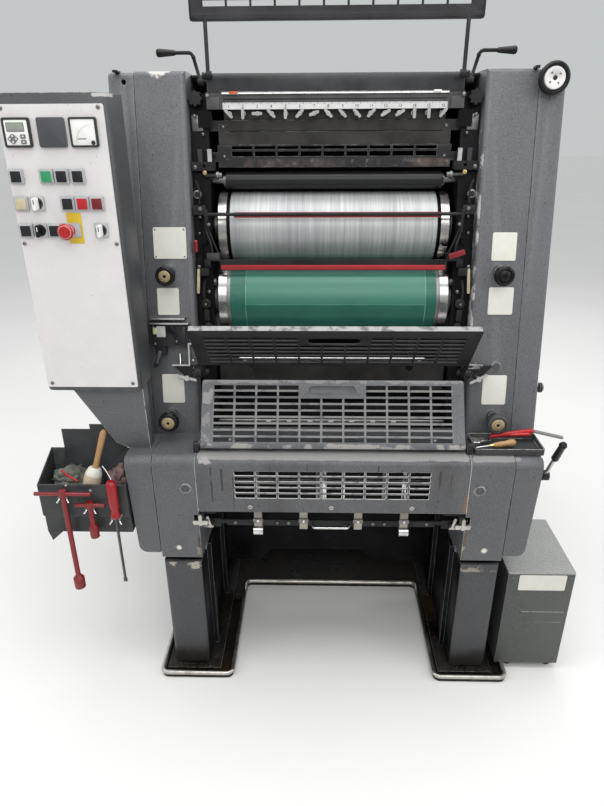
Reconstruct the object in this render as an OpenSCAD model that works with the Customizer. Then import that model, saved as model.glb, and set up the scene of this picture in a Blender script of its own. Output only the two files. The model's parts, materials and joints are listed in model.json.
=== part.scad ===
// Sheet-fed offset printing press, single colour, seen from its delivery end.
// Drawn in millimetres: +X right, +Y from delivery to feeder, +Z up, Z = 0 on the floor.
// Y is measured from the front rim of the drip tray, then moved back by origin_y.

/* [Datum] */
// distance from the tray's front rim to the row origin
origin_y = 850; // [600:10:1000]
// running clearance of a pin, on the radius
running_clearance = 0.05; // [0.02:0.01:0.1]
// gap between fixed pieces on a slanted face
seat_gap = 0.3; // [0.1:0.1:0.5]
// gap beside a moving piece
moving_gap = 5; // [4:8]
// fineness of round parts
round_steps = 32; // [16:4:64]

/* [Drip tray] */
// tray's half width
tray_half = 486; // [480:600]
// sideways offset of the tray
tray_offset = 11; // [0:20]
// half width of the gap in the front of the tray
tray_gap_half = 277; // [200:285]
// depth of the gap in the front of the tray
tray_gap_depth = 384; // [200:500]
// tray length
tray_length = 1640; // [1400:1800]
// thickness of the tray's floor and wall
tray_sheet = 3; // [2:5]
// tray's rim height
tray_rim_h = 22; // [18:40]
// rolled rim radius
rim_r = 6; // [4:8]
// corner radius of the rim
tray_corner = 18; // [12:30]

/* [Side bases] */
// side bases' inner face
base_in = 339; // [300:360]
// side bases' outer face
base_out = 439; // [420:460]
// side bases' front face
base_front = 43; // [30:60]
// side bases' top
base_top = 372; // [350:380]
// rear end of the side bases and boxes
base_rear = 1180; // [1000:1300]
// thickness of the foot plates in the tray
foot_t = 10; // [6:14]
// foot plates' reach inwards past the bases
foot_in = 32; // [20:40]
// foot plates' reach outwards past the bases
foot_out = 18; // [10:30]
// front edge of the foot plates
foot_front = 27; // [20:40]
// gap under the front of a base
leg_gap = 8; // [4:14]
// radius of the front edges of a base
leg_round = 12; // [6:18]
// wall of the cross members at the rear
rear_wall = 20; // [10:30]
// thickness of the guide rails inside the bases
rail_t = 12; // [8:13]
// guide rails' width
rail_w = 30; // [20:40]

/* [Side boxes and covers] */
// side boxes' inner face
box_in = 335; // [320:345]
// front face of the side boxes and the hood
box_front = 38.5; // [30:50]
// underside of the side boxes at the front
box_low = 392; // [385:410]
// depth of the set-back foot under the side boxes
box_step = 60; // [40:90]
// top of the side boxes and the hood
box_top = 687; // [650:720]
// top front edge radius
box_round = 26; // [14:34]
// outer face of the box covers at the top
cover_out = 507; // [490:520]
// flare of the box covers from bottom to top
cover_flare = 11; // [4:16]
// gap between a box and its outer cover
seam = 2; // [1:4]
// box covers' underside
cover_low = 407; // [395:420]
// covers' lower edge radius
cover_round = 22; // [10:30]
// box covers' rear end
cover_rear = 1176; // [1000:1300]
// upper blind plugs' radius
plug_r = 15; // [10:18]
// lower blind plugs' radius
small_plug_r = 9; // [6:12]
// upper blind plugs' height
plug_z = 602; // [560:640]
// lower blind plugs' height
small_plug_z = 423; // [415:440]
// upper blind plugs off the centre
plug_x = 361; // [355:375]
// lower blind plugs off the centre
small_plug_x = 392; // [380:410]
// covers' top edge radius
cover_edge = 4; // [2:8]
// catch pockets' underside
catch_low = 496; // [480:510]
// catch pockets' height
catch_h = 28; // [20:36]
// catch pockets' width
catch_w = 12; // [8:18]
// catch pockets' depth
catch_deep = 22; // [10:26]

/* [Towers] */
// towers' inner face
tower_in = 344; // [342:360]
// seam between tower and outer cover
tower_seam = 461; // [440:480]
// tower covers' outer face
tower_out = 524; // [500:540]
// front face of the towers at the reference height
tower_front = 185; // [170:200]
// reference height of the leaning front face
tower_ref = 750; // [700:800]
// lean of the front face, run over rise
tower_lean = 0.188; // [0.1:0.01:0.25]
// towers' top
tower_top = 1533; // [1520:1600]
// rear edge of the tower top
tower_top_rear = 740; // [650:800]
// rear face of the towers
tower_rear = 860; // [800:950]
// height where the rear slope starts
tower_slope_z = 1180; // [1000:1300]
// radius of the towers' front and top edges
tower_round = 12; // [6:16]
// radius of the blind plug in the right tower
tower_plug_r = 13; // [8:16]
// blind plug in the right tower off the centre
tower_plug_x = 412; // [405:420]
// height of the blind plug in the right tower
tower_plug_z = 862; // [860:900]
// radius of the knob on the right tower cover
cover_knob_r = 13; // [8:16]
// height of the knob on the right tower cover
cover_knob_z = 801; // [790:860]
// reach of the bushes in front of the towers
bush_out = 16; // [8:20]

/* [Delivery hood] */
// hood's front wall underside
hood_low = 534; // [520:560]
// sheet of the hood
hood_sheet = 4; // [2:8]
// hood's lower lip depth
hood_lip = 14; // [8:20]
// rear edge of the hood's top
hood_rear = 212; // [150:215]
// columns of slots in the hood
hood_cols = 9; // [5:11]
// rows of slots in the hood
hood_rows = 5; // [3:6]
// hood's lowest slots start
hood_slot_z = 573; // [560:580]
// spacing of slots sideways
slot_pitch_x = 53.6; // [45:57]
// spacing of slots upwards
slot_pitch_z = 16.2; // [12:18]
// web between slots
slot_web = 5; // [3:8]

/* [Delivery bar and strips] */
// delivery bar front face
bar_front = 88; // [80:100]
// delivery bar underside
bar_low = 459; // [450:470]
// delivery bar height
bar_h = 17; // [12:24]
// delivery bar thickness
bar_t = 4; // [3:8]
// half width of the delivery bar's strip
bar_half = 271; // [250:300]
// pull handle's rod radius
pull_r = 3.5; // [3:6]
// pull handle half length
pull_half = 47; // [35:60]
// reach of the pull handle in front of the bar
pull_reach = 20; // [12:30]
// hanging strips' width
strip_w = 21; // [12:26]
// hanging strips' thickness
strip_t = 2; // [1.5:3]
// lower end of the hanging strips
strip_low = 450; // [430:455]
// upper end of the hanging strips
strip_top = 530; // [500:533]
// places of the outer strips
strip_far = 190; // [150:230]
// places of the inner strips
strip_near = 71; // [60:90]
// outer strips' roller radius
strip_roller_r = 13; // [8:13]
// height of the tie rod between the side boxes
tie_z = 520; // [500:540]
// radius of the tie rod between the side boxes
tie_r = 9; // [6:9]

/* [Cylinders and roller] */
// radius of plate and blanket cylinders
cyl_r = 88; // [84:90]
// half length of the cylinder bodies
cyl_half = 255; // [240:262]
// bearer rings' inner end
bearer_in = 264; // [263:270]
// bearer rings' outer end
bearer_out = 286; // [280:287]
// groove beside the plate cylinder's bearers
plate_groove = 9; // [4:12]
// groove beside the blanket cylinder's bearers
blanket_groove = 2; // [1:6]
// cylinder journals' radius
journal_r = 24; // [18:30]
// length of the journals inside the frames
journal_hold = 38; // [20:42]
// plate cylinder axis back from the tray
plate_y = 393; // [391:400]
// plate cylinder axis height
plate_z = 1178; // [1176:1190]
// blanket cylinder axis back from the tray
blanket_y = 329; // [320:331]
// blanket cylinder axis height
blanket_z = 1008.5; // [1000:1010]
// width of the clamping gap in a cylinder
clamp_gap = 34; // [24:50]
// depth of the clamping gap in a cylinder
clamp_depth = 24; // [16:30]
// height of the clamping bars in the gap
clamp_bar_h = 14; // [8:15]
// number of clamping screws
clamp_screws = 8; // [4:12]
// form roller radius
roller_r = 21; // [15:24]
// form roller half length
roller_half = 266; // [250:280]
// form roller axis back from the tray
roller_y = 372; // [365:385]
// form roller axis height
roller_z = 1294; // [1292:1300]
// roller spindle radius
spindle_r = 8; // [5:12]

/* [Inner frames] */
// inner frames' inner face
frame_in = 300; // [297:310]
// set-back of the inner frames behind the tower front
frame_back = 42; // [34:60]
// inner frames' top
frame_top = 1488; // [1480:1489]
// rear edge of the inner frames
frame_rear = 800; // [700:805]
// radius of the bearing covers round the journals
bearing_r = 42; // [34:50]
// height of the bearing covers off the frames
bearing_t = 7; // [4:8]
// star knobs' radius
star_r = 17; // [12:17.5]
// star knobs' axes height
star_z = 1477; // [1465:1485]
// star knobs' front
star_front = 336; // [325:345]
// roller adjusters' height
adjuster_z = 1330; // [1325:1340]
// adjuster block height
adjuster_h = 20; // [14:24]
// adjusting screws' radius
adjuster_r = 6; // [4:7]
// adjuster blocks' front
adjuster_front = 318; // [314:322]
// height of the tabs on the adjuster blocks
tab_h = 38; // [25:40]
// width of the tabs on the adjuster blocks
tab_w = 10; // [8:12]

/* [Ink unit] */
// room between the ink unit and the towers
ink_gap = 48; // [40:52]
// ink unit's top cover front face
ink_front = 338; // [334:342]
// ink unit's top cover underside
ink_cover_low = 1490; // [1490:1500]
// cover's front top edge radius
ink_round = 14; // [8:20]
// sheet of the cover
ink_sheet = 5; // [3:8]
// rear of the solid cheeks that carry the levers
cheek_rear = 400; // [390:430]
// cheeks' thickness
cheek_t = 22; // [16:24]
// rear cover underside
rear_cover_low = 945; // [935:1000]
// ink fountain half width
fountain_half = 264; // [250:268]
// ink fountain's front underside
fountain_low = 1453; // [1450:1460]
// number scale height
scale_h = 15; // [10:18]
// number of ink keys
key_count = 16; // [8:18]
// spacing of the ink keys
key_pitch = 33.4; // [26:34]
// ink keys' screws radius
key_r = 3.5; // [2:5]
// ink keys' axes height
key_z = 1444; // [1440:1447]
// ink key's wings half length
key_wing = 9; // [6:11]
// ink keys' front
key_front = 334; // [330:338]
// face that carries the ink keys
key_bed = 366; // [362:370]
// sideways shift of the row of ink keys
key_shift = 2; // [0:4]
// turns of the ink keys' wings, in degrees
key_turns = [135, 90, 0, 135, 90, 45, 20, 135, 135, 135, 45, 30, 30, 90, 90, 50];
// fountain's apron lower edge
apron_z = 1406; // [1400:1412]
// fountain's apron height
apron_h = 21; // [14:24]
// roller guard upper edge
grate_top = 1376; // [1370:1385]
// roller guard height
grate_h = 51; // [44:56]
// roller guard half width
grate_half = 281; // [270:290]
// roller guard front
grate_front = 352; // [350:354]
// columns of slots in the roller guard
grate_cols = 9; // [5:10]
// spacing of the roller guard's slots sideways
grate_pitch = 55.5; // [45:58]

/* [Nip guards] */
// upper nip rod height
nip_rod_z = 1223; // [1215:1235]
// upper nip rod back from the tray
nip_rod_y = 285; // [275:290]
// upper nip rod radius
nip_rod_r = 4; // [3:6]
// lower nip guard half width
nip_half = 278; // [260:284]
// lower nip guard underside
nip_low = 1091; // [1085:1096]
// lower nip guard height
nip_h = 26; // [18:32]
// lower nip guard front
nip_front = 270; // [265:276]

/* [Guards] */
// room between a guard and the towers
guard_room = 22; // [18:26]
// sheet of the guards
guard_sheet = 3; // [2:5]
// guards' side flanges depth
flange = 12; // [8:16]
// guards' corner radius
guard_corner = 6; // [3:10]
// columns of slots in the guards
guard_cols = 11; // [7:11]
// guards' hinge pins radius
pin_r = 4; // [3:5]
// guards' hinge eyes radius
eye_r = 9; // [8:10]
// half length of the handles
handle_half = 47; // [30:60]
// radius of a handle's round ends
handle_r = 12; // [8:13]
// lower guard's pressed handle depth
handle_deep = 6; // [4:8]
// lower guard hinge back from the tray
low_hinge_y = 75; // [68:85]
// lower guard hinge height above the side boxes
low_hinge_h = 19; // [16:28]
// lean of the lower guard backwards, degrees
low_lean = 31.5; // [20:40]
// length of the lower guard above its hinge
low_len = 160; // [155:168]
// rows of slots in the lower guard
low_rows = 9; // [6:9]
// upper guard hinge back from the tray
up_hinge_y = 186; // [180:192]
// upper guard hinge height
up_hinge_z = 852; // [846:860]
// lean of the upper guard forwards, degrees
up_lean = 40; // [35:45]
// upper guard's panel starts above its hinge
up_start = 71; // [60:80]
// upper guard's panel ends above its hinge
up_end = 224; // [210:235]
// upper guard's panel in front of its hinge
up_offset = 19; // [16:25]
// rows of slots in the upper guard
up_rows = 7; // [5:7]
// top guard hinge back from the tray
top_hinge_y = 318; // [314:322]
// top guard hinge height
top_hinge_z = 1522; // [1518:1526]
// start of the top guard's panel above its hinge
top_start = 106; // [96:120]
// end of the top guard's panel above its hinge
top_end = 372; // [360:400]
// top guard's rods radius
top_rod_r = 4.5; // [3:6]
// rows of slots in the top guard
top_rows = 13; // [8:13]

/* [Inner deck] */
// front of the plate behind the upper guard
deck_front = 252; // [248:256]
// top of the plate behind the upper guard
deck_plate_top = 848; // [840:856]
// top of the deck behind the guards
deck_z = 782; // [770:790]
// front of the cross panel behind the delivery
panel_y = 410; // [400:430]
// cross panel lower edge
panel_low = 92; // [80:110]
// height of the arch in the cross panel
arch_rise = 43; // [30:60]
// half width of the arch at its top
arch_top = 146; // [100:180]
// half width of the arch at its foot
arch_foot = 190; // [180:230]
// sideways offset of the arch
arch_x = -37; // [-50:0]
// places of the notches in the plate behind the upper guard
notch_x = 202; // [180:220]
// notches' radius
notch_r = 11; // [8:14]
// places of the posts that carry the bright rod
deck_post = 240; // [225:260]
// bright rod radius
deck_rod_r = 4; // [3:5]
// height of the bright rod above the plate
deck_rod_up = 16; // [10:18]

/* [Levers and knobs] */
// top lever axis back from the tray
lever_y = 354; // [350:362]
// top lever axis height
lever_z = 1512; // [1506:1518]
// top levers' rods radius
lever_rod = 4; // [3:6]
// lean of the top levers' rods outwards, degrees
lever_lean = 15; // [5:20]
// bend radius of the top levers' rods
lever_bend = 12; // [8:16]
// grips' radius
grip_r = 9; // [6:10]
// height of the grip axis of the levers
grip_z = 1571; // [1560:1585]
// grips' length
grip_len = 44; // [35:50]
// grips' inner end
grip_in = 366; // [355:380]
// handwheel centre off the centre
wheel_x = 486; // [480:490]
// handwheel centre height
wheel_z = 1511; // [1500:1512]
// handwheel radius
wheel_r = 34.5; // [30:40]
// handwheel depth
wheel_t = 14; // [10:18]
// handwheel's face radius
wheel_face = 23; // [15:26]
// handwheel front back from the tray
wheel_y = 298; // [290:300]
// shaft radius of the handwheel and the side lever
shaft_r = 6; // [4:8]
// upper knobs off the centre
knob_up_x = 400; // [390:410]
// upper knobs' height
knob_up_z = 1094; // [1085:1105]
// upper knobs' radius
knob_up_r = 23.5; // [20:26]
// lower knobs off the centre
knob_low_x = 410; // [400:420]
// lower knobs' height
knob_low_z = 740; // [735:750]
// lower knobs' radius
knob_low_r = 25.5; // [20:26]
// knob thickness
knob_t = 16; // [10:20]
// knobs' middle in front of the tower
knob_out = 55; // [48:60]
// knobs' stems radius
stem_r = 5; // [4:7]
// radius of the bushes that carry the knobs
bush_r = 14; // [10:18]
// side lever hub back from the tray
side_y = 77; // [65:90]
// side lever hub height
side_z = 626; // [610:640]
// side lever's plane outside the box cover
side_out = 20; // [14:30]
// side lever's rod length
side_rod = 74; // [60:90]
// side lever's grip length
side_grip = 70; // [50:80]
// side lever's lean forwards, degrees
side_lean = 30; // [10:45]

/* [Safety switch] */
// safety switch's middle off the centre
switch_x = -405; // [-410:-404]
// safety switch's middle height
switch_z = 942; // [938:945]
// safety switch width
switch_w = 90; // [80:92]
// safety switch height
switch_h = 54; // [45:60]
// depth of the safety switch off the tower
switch_t = 26; // [20:30]
// switch's turret width
turret_w = 26; // [20:32]
// switch's turret height
turret_h = 24; // [16:28]
// switch's roller lever length
switch_lever = 34; // [25:40]
// bent strips' thickness
strap_t = 4; // [3:5]
// upright strip height
upright_h = 58; // [45:65]
// upright strip from the tower's inner face
upright_in = 13; // [8:16]
// wing screws' half width
wing_half = 24; // [18:27]
// wing screws' hubs radius
wing_r = 7; // [5:9]
// thickness of the brackets behind the wing screws
bracket_t = 8; // [6:12]

/* [Blank plates] */
// blank plates' thickness
plate_t = 1.5; // [1:2]
// blank plates' corner radius
plate_round = 4; // [2:6]
// blank plates on the towers: x, z, width, height
plates = [[-397, 1159, 80, 74], [-408, 1021, 54, 66], [-406, 804, 56, 75],
  [410, 1150, 58, 66], [411, 1023, 60, 66], [411, 804, 60, 76]];

/* [Control cabinet] */
// control cabinet's width
cab_w = 226; // [210:270]
// control cabinet's inner side
cab_in = 450; // [440:460]
// cabinet's front
cab_front = 71; // [60:80]
// cabinet's rear
cab_rear = 190; // [160:195]
// cabinet's underside
cab_low = 850; // [840:860]
// cabinet's top
cab_top = 1478; // [1450:1500]
// cabinet's corner radius
cab_round = 18; // [8:30]
// control panel's thickness
panel_t = 3; // [2:5]
// housing beside the control panel
panel_edge = 7; // [4:12]
// housing above the control panel
panel_top_edge = 20; // [12:26]
// housing below the control panel
panel_low_edge = 10; // [6:16]
// push buttons' bezel width
button_w = 29; // [24:30]
// push buttons' bezel height
bezel_h = 7; // [4:10]
// push buttons' cap width
cap_w = 24; // [18:26]
// push buttons' cap height
cap_h = 3; // [2:6]
// stop button radius
stop_r = 17; // [12:19]
// reach of the stop button off the panel
stop_reach = 34; // [25:40]
// selectors' rings radius
selector_r = 12.5; // [10:13]
// selectors' reach off the panel
selector_reach = 22; // [16:28]
// instrument width
instrument_w = 55; // [45:58]
// height of an instrument off the panel
instrument_h = 7; // [4:10]
// rows of buttons below the panel's top
rows_down = [132, 185, 239];
// instruments' middle below the panel's top
instruments_down = 51; // [48:60]
// instruments, from the panel's outer edge
instruments_in = [35.5, 105, 168.5];
// buttons of row 1, from the panel's outer edge
row_1 = [18, 80, 111, 144];
// buttons of row 2, from the panel's outer edge
row_2 = [18, 115, 145.5, 176];
// buttons of row 3, from the panel's outer edge
row_3 = [18, 79];
// stop button, from the panel's outer edge
stop_in = 110; // [105:114]
// selector switches: row, distance from the panel's outer edge
selectors = [[1, 51], [2, 48.5], [2, 177]];

/* [Pump cabinet] */
// pump cabinet inner side
pump_in = 471; // [464:480]
// pump cabinet outer side
pump_out = 646; // [630:660]
// pump cabinet front
pump_front = 54; // [45:65]
// pump cabinet rear
pump_rear = 295; // [280:320]
// pump cabinet top
pump_top = 342; // [330:350]
// pump cabinet's lid height
pump_lid = 5; // [4:8]
// pump cabinet's lid overhang
pump_over = 1; // [0.5:0.5:2]
// pump cabinet's feet radius
pump_foot_r = 11; // [8:14]
// inner feet from the pump cabinet's side
pump_foot_in = 43; // [40:50]
// outer feet from the pump cabinet's side
pump_foot_out = 20; // [16:40]

/* [Tool box and tool tray] */
// tool box outer end
tbox_out = 727; // [710:750]
// tool box front
tbox_front = 30; // [20:36]
// tool box rear
tbox_rear = 140; // [120:160]
// tool box underside
tbox_low = 470; // [460:476]
// height of the ledge in the tool box's front
tbox_ledge = 524; // [510:540]
// set-back of the tool box's front under the ledge
tbox_step = 8; // [4:12]
// rim of the tool box at the front
tbox_rim = 614; // [612:620]
// rim of the tool box at the back
tbox_side = 660; // [630:680]
// tool box's back panel top
tbox_top = 728; // [700:740]
// drop of the tool box's corner foot
tbox_foot = 28; // [15:35]
// sheet of tool box and tool tray
tool_sheet = 3; // [2:4]
// hanging tools in front of the tool box
tool_hang = 14; // [12:18]
// hooks' prongs radius
hook_r = 2.5; // [2:3]
// T-keys' handles radius
key_bar_r = 5; // [4:6]
// T-keys' shafts radius
key_shaft_r = 6.5; // [5:8]
// T-keys: x, handle height, lower end, half handle length, socket radius
t_keys = [[-660, 597, 310, 70, 14], [-597, 565, 471, 37, 11.5]];
// screwdriver off the centre
driver_x = -537; // [-542:-530]
// lower end of the screwdriver's handle
driver_z = 530; // [525:535]
// screwdriver's handle length
driver_grip = 105; // [95:110]
// screwdriver's handle radius
driver_r = 12.5; // [10:13]
// screwdriver's blade length
driver_blade = 193; // [150:200]
// tool tray inner end
ttray_in = 345; // [340:350]
// overhang of the tool tray past the box cover
ttray_over = 6; // [2:10]
// tool tray rear
ttray_rear = 152; // [145:160]
// tool tray front
ttray_front = 64; // [60:80]
// rim height of the tool tray
ttray_h = 17; // [12:20]

/* [Feeder end] */
// feeder housings' height
feed_top = 940; // [900:1000]
// feeder housings' corner radius
feed_round = 30; // [15:50]
// rear face of the feeder posts
post_rear = 1300; // [1280:1350]
// feeder posts' top
post_top = 1230; // [1200:1300]
// feeder posts' outer face
post_out = 400; // [380:430]
// wall of the feeder posts' channels
post_wall = 14; // [8:20]
// half width of feed board and pile table
sheet_half = 280; // [260:290]
// feed board's front
board_front = 700; // [680:720]
// feed board's height at the front
board_low = 868; // [860:880]
// feed board rise
board_rise = 92; // [60:100]
// feed board's overhang at the rear
board_over = 40; // [20:60]
// feed board thickness
board_t = 18; // [12:24]
// number of tape grooves in the feed board
board_tapes = 5; // [3:7]
// tape groove width
tape_w = 24; // [15:35]
// suction head's carrier height
head_z = 1140; // [1120:1160]
// side of the suction head's carrier
head_t = 40; // [30:50]
// suction head behind the posts' front
head_in = 35; // [20:40]
// number of suckers
suckers = 4; // [2:6]
// spacing of the suckers
sucker_pitch = 100; // [80:120]
// sucker's cup radius
sucker_r = 14; // [10:18]
// pile table rear end
pile_rear = 1620; // [1500:1634]
// pile table top
pile_top = 430; // [300:600]
// pile table's board thickness
pile_t = 20; // [14:30]
// number of boards in the pile table
pile_boards = 5; // [3:7]
// gap between the boards of the pile table
pile_gap = 8; // [4:12]
// pile table's lifting beams depth
beam_h = 40; // [30:60]

/* [Output] */
// node to build, or all

/* [Hidden] */
$fn = round_steps;
lean_deg = atan(tower_lean);
bore = running_clearance;
ink_half = tower_in - ink_gap;
guard_half = tower_in - guard_room;
top_rod_x = ink_half - 8;
low_hinge_z = box_top + low_hinge_h;
pump_low = tray_rim_h;
cab_out = cab_in + cab_w;
panel_out = -cab_out + panel_edge;
panel_in = -cab_in - panel_edge;
panel_top = cab_top - panel_top_edge;
panel_face = cab_front - panel_t;
ink_cover_top = tower_top - 4;
rear_face = tower_rear - 8;
scale_top = fountain_low + scale_h;
scale_face = ink_front + 8;
side_x = cover_out + side_out;

function tower_y(z) = tower_front + tower_lean * (z - tower_ref);
function frame_y(z) = tower_y(z) + frame_back;
function cover_x(z) = cover_out - cover_flare
  + cover_flare * (z - cover_low - cover_round) / (box_top - seam - cover_edge - cover_low - cover_round);
function arc(cx, cy, r, a0, a1, n) =
  [for (i = [0:n]) let (a = a0 + (a1 - a0) * i / n) [cx + r * cos(a), cy + r * sin(a)]];
function unit(v) = v / norm(v);
function rounded(p, r, n) = [for (i = [0:len(p) - 1])
  let (u = unit(p[(i + len(p) - 1) % len(p)] - p[i]), v = unit(p[(i + 1) % len(p)] - p[i]))
  for (k = [0:n]) let (t = 90 * k / n) p[i] + r * (u + v) - r * (cos(t) * v + sin(t) * u)];
function oblong(x0, x1, y0, y1) = [[x0, y0], [x1, y0], [x1, y1], [x0, y1]];

module soft_oblong(x0, x1, y0, y1, r) {
  polygon(rounded(oblong(x0, x1, y0, y1), r, 4));
}

module soft_square(w, h, r) {
  soft_oblong(-w / 2, w / 2, -h / 2, h / 2, r);
}

module placed() {
  translate([0, -origin_y, 0]) children();
}

module pair() {
  children();
  mirror([1, 0, 0]) children();
}

module block(x0, x1, y0, y1, z0, z1) {
  translate([x0, y0, z0]) cube([x1 - x0, y1 - y0, z1 - z0]);
}

module side_slab(x0, x1) {
  translate([x0, 0, 0]) rotate([90, 0, 90]) linear_extrude(x1 - x0) children();
}

module front_slab(y0, y1) {
  translate([0, y1, 0]) rotate([90, 0, 0]) linear_extrude(y1 - y0) children();
}

module x_rod(x0, x1, y, z, r) {
  translate([x0, y, z]) rotate([0, 90, 0]) cylinder(r = r, h = x1 - x0);
}

module y_rod(y0, y1, x, z, r) {
  translate([x, y0, z]) rotate([-90, 0, 0]) cylinder(r = r, h = y1 - y0);
}

module facing_front(x, y, z) {
  translate([x, y, z]) rotate([90, 0, 0]) children();
}

module on_tower(x, z) {
  translate([x, tower_y(z), z]) rotate([-lean_deg, 0, 0]) children();
}

module edge_cut(x, r) {
  on_tower(x, box_top - 20) linear_extrude(tower_top - box_top + 60)
    polygon(concat([[-1, -1], [r, -1]], arc(r, r, r, 270, 180, 6), [[-1, r]]));
}

module bend(r_bend, r_rod, a0, a1) {
  rotate([0, 0, a0]) rotate_extrude(angle = a1 - a0) translate([r_bend, 0]) circle(r_rod);
}

module slots(cols, rows, pitch, s0, blank_rows) {
  for (i = [0:cols - 1]) {
    for (j = [0:rows - 1]) {
      middle = abs(i - (cols - 1) / 2) < 1.6;
      if (!(middle && j >= rows - blank_rows)) {
        translate([(i - cols / 2) * pitch + slot_web / 2, s0 + j * slot_pitch_z + slot_web / 2])
          square([pitch - slot_web, slot_pitch_z - slot_web]);
      }
    }
  }
}

module handle_shape(r) {
  translate([-handle_half, 0]) circle(r);
  translate([handle_half, 0]) circle(r);
  translate([-handle_half, -r]) square([2 * handle_half, 2 * r]);
}

function tray_points(i) = [
  [tray_offset - tray_half + i, i],
  [tray_offset - tray_gap_half - i, i],
  [tray_offset - tray_gap_half - i, tray_gap_depth + i],
  [tray_offset + tray_gap_half + i, tray_gap_depth + i],
  [tray_offset + tray_gap_half + i, i],
  [tray_offset + tray_half - i, i],
  [tray_offset + tray_half - i, tray_length - i],
  [tray_offset - tray_half + i, tray_length - i]];

module tray_area(i) {
  polygon(rounded(tray_points(i), tray_corner, 5));
}

module rim_tube(p, r) {
  for (i = [0:len(p) - 1]) {
    u = unit(p[(i + len(p) - 1) % len(p)] - p[i]);
    v = unit(p[(i + 1) % len(p)] - p[i]);
    a = atan2(-u[1], -u[0]);
    b = atan2(-v[1], -v[0]);
    start = abs((b - a + 360) % 360 - 90) < 1 ? a : b;
    translate(concat(p[i] + r * (u + v), [0])) bend(r, rim_r, start, start + 90);
    run = norm(p[(i + 1) % len(p)] - p[i]) - 2 * r;
    translate(concat(p[i] + r * v, [0])) rotate([0, 90, atan2(v[1], v[0])]) cylinder(r = rim_r, h = run);
  }
}

module drip_tray() {
  color("silver") placed() {
    linear_extrude(tray_sheet) tray_area(rim_r - tray_sheet / 2);
    linear_extrude(tray_rim_h - rim_r) difference() {
      tray_area(rim_r - tray_sheet / 2);
      tray_area(rim_r + tray_sheet / 2);
    }
    translate([0, 0, tray_rim_h - rim_r]) rim_tube(tray_points(rim_r), tray_corner);
  }
}

module base_plan(x0, x1, y0, y1) {
  polygon(concat([[x0, y1]], arc(x0 + leg_round, y0 + leg_round, leg_round, 180, 270, 6),
    arc(x1 - leg_round, y0 + leg_round, leg_round, 270, 360, 6), [[x1, y1]]));
}

module side_bases() {
  foot_top = tray_sheet + foot_t;
  color("dimgray") placed() {
    pair() {
      block(base_in - foot_in, base_out + foot_out, foot_front, base_rear, tray_sheet, foot_top);
      block(base_in + leg_round, base_out - leg_round, base_front + leg_round, base_rear,
        foot_top - 1, base_top - 1);
      intersection() {
        translate([0, 0, foot_top + leg_gap]) linear_extrude(base_top - foot_top - leg_gap)
          base_plan(base_in, base_out, base_front, base_rear);
        side_slab(base_in - 1, base_out + 1) polygon(concat([[base_front - 1, foot_top]],
          arc(base_front + leg_round, base_top - leg_round, leg_round, 180, 90, 6),
          [[base_rear + 1, base_top], [base_rear + 1, foot_top]]));
      }
      for (y = [base_front + 80, base_front + 290])
        block(base_in - rail_t, base_in + 1, y, y + rail_w, foot_top - 1, base_top);
    }
    block(-base_in - 1, base_in + 1, base_rear - rear_wall, base_rear, tray_sheet, base_top);
  }
}

module box_profile() {
  polygon(concat([[box_front, box_low]],
    arc(box_front + box_round, box_top - box_round, box_round, 180, 90, 8),
    [[base_rear, box_top], [base_rear, base_top], [box_front + box_step, base_top],
    [box_front + box_step, box_low]]));
}

module plug_seat(x, z, r) {
  y_rod(box_front - 1, box_front + 2.5, x, z, r);
}

module plug_cap(x, z, r) {
  facing_front(x, box_front + 3, z) rotate_extrude()
    polygon([[0, 0], [r - 1.5, 0], [r - 1.5, 3.5], [r - 3, 4.5], [0, 4.5]]);
}

module side_boxes() {
  color("gray") placed() {
    pair() {
      difference() {
        side_slab(box_in, base_out) box_profile();
        block(box_in - 1, box_in + catch_w, box_front - 1, box_front + catch_deep, catch_low,
          catch_low + catch_h);
        plug_seat(plug_x, plug_z, plug_r);
        plug_seat(small_plug_x, small_plug_z, small_plug_r);
      }
      plug_cap(plug_x, plug_z, plug_r);
      plug_cap(small_plug_x, small_plug_z, small_plug_r);
    }
    block(-box_in - 1, box_in + 1, base_rear - rear_wall, base_rear, base_top, box_top);
  }
}

module box_covers() {
  color("gray") placed() {
    difference() {
      pair() intersection() {
        side_slab(base_out + seam, cover_out) polygon(concat(
          [[box_front, cover_low]],
          arc(box_front + box_round, box_top - seam - box_round, box_round, 180, 90, 8),
          [[cover_rear, box_top - seam], [cover_rear, cover_low]]));
        front_slab(box_front - 1, cover_rear + 1) polygon(concat([[base_out + seam, cover_low]],
          arc(cover_out - cover_flare - cover_round, cover_low + cover_round, cover_round, 270, 360, 6),
          arc(cover_out - cover_edge, box_top - seam - cover_edge, cover_edge, 0, 90, 3),
          [[base_out + seam, box_top - seam]]));
      }
      x_rod(cover_out - 30, cover_out + 1, side_y, side_z, shaft_r + bore);
    }
    pair() block(base_out, base_out + seam, box_front + 260, box_front + 860, box_low + 88,
      box_top - 67);
  }
}

module tower_profile(low, top, front) {
  middle = tower_y(top - tower_round) + front + tower_round / cos(lean_deg);
  polygon(concat([[tower_y(low) + front, low]],
    arc(middle, top - tower_round, tower_round, 180 - lean_deg, 90, 6),
    [[tower_top_rear, top], [tower_rear, tower_slope_z], [tower_rear, low]]));
}

module bush(x, z) {
  difference() {
    y_rod(tower_y(z) - bush_out, tower_y(z) + 10, x, z, bush_r);
    y_rod(tower_y(z) - bush_out - 1, tower_y(z) + 34, x, z, stem_r + bore);
  }
}

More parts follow.
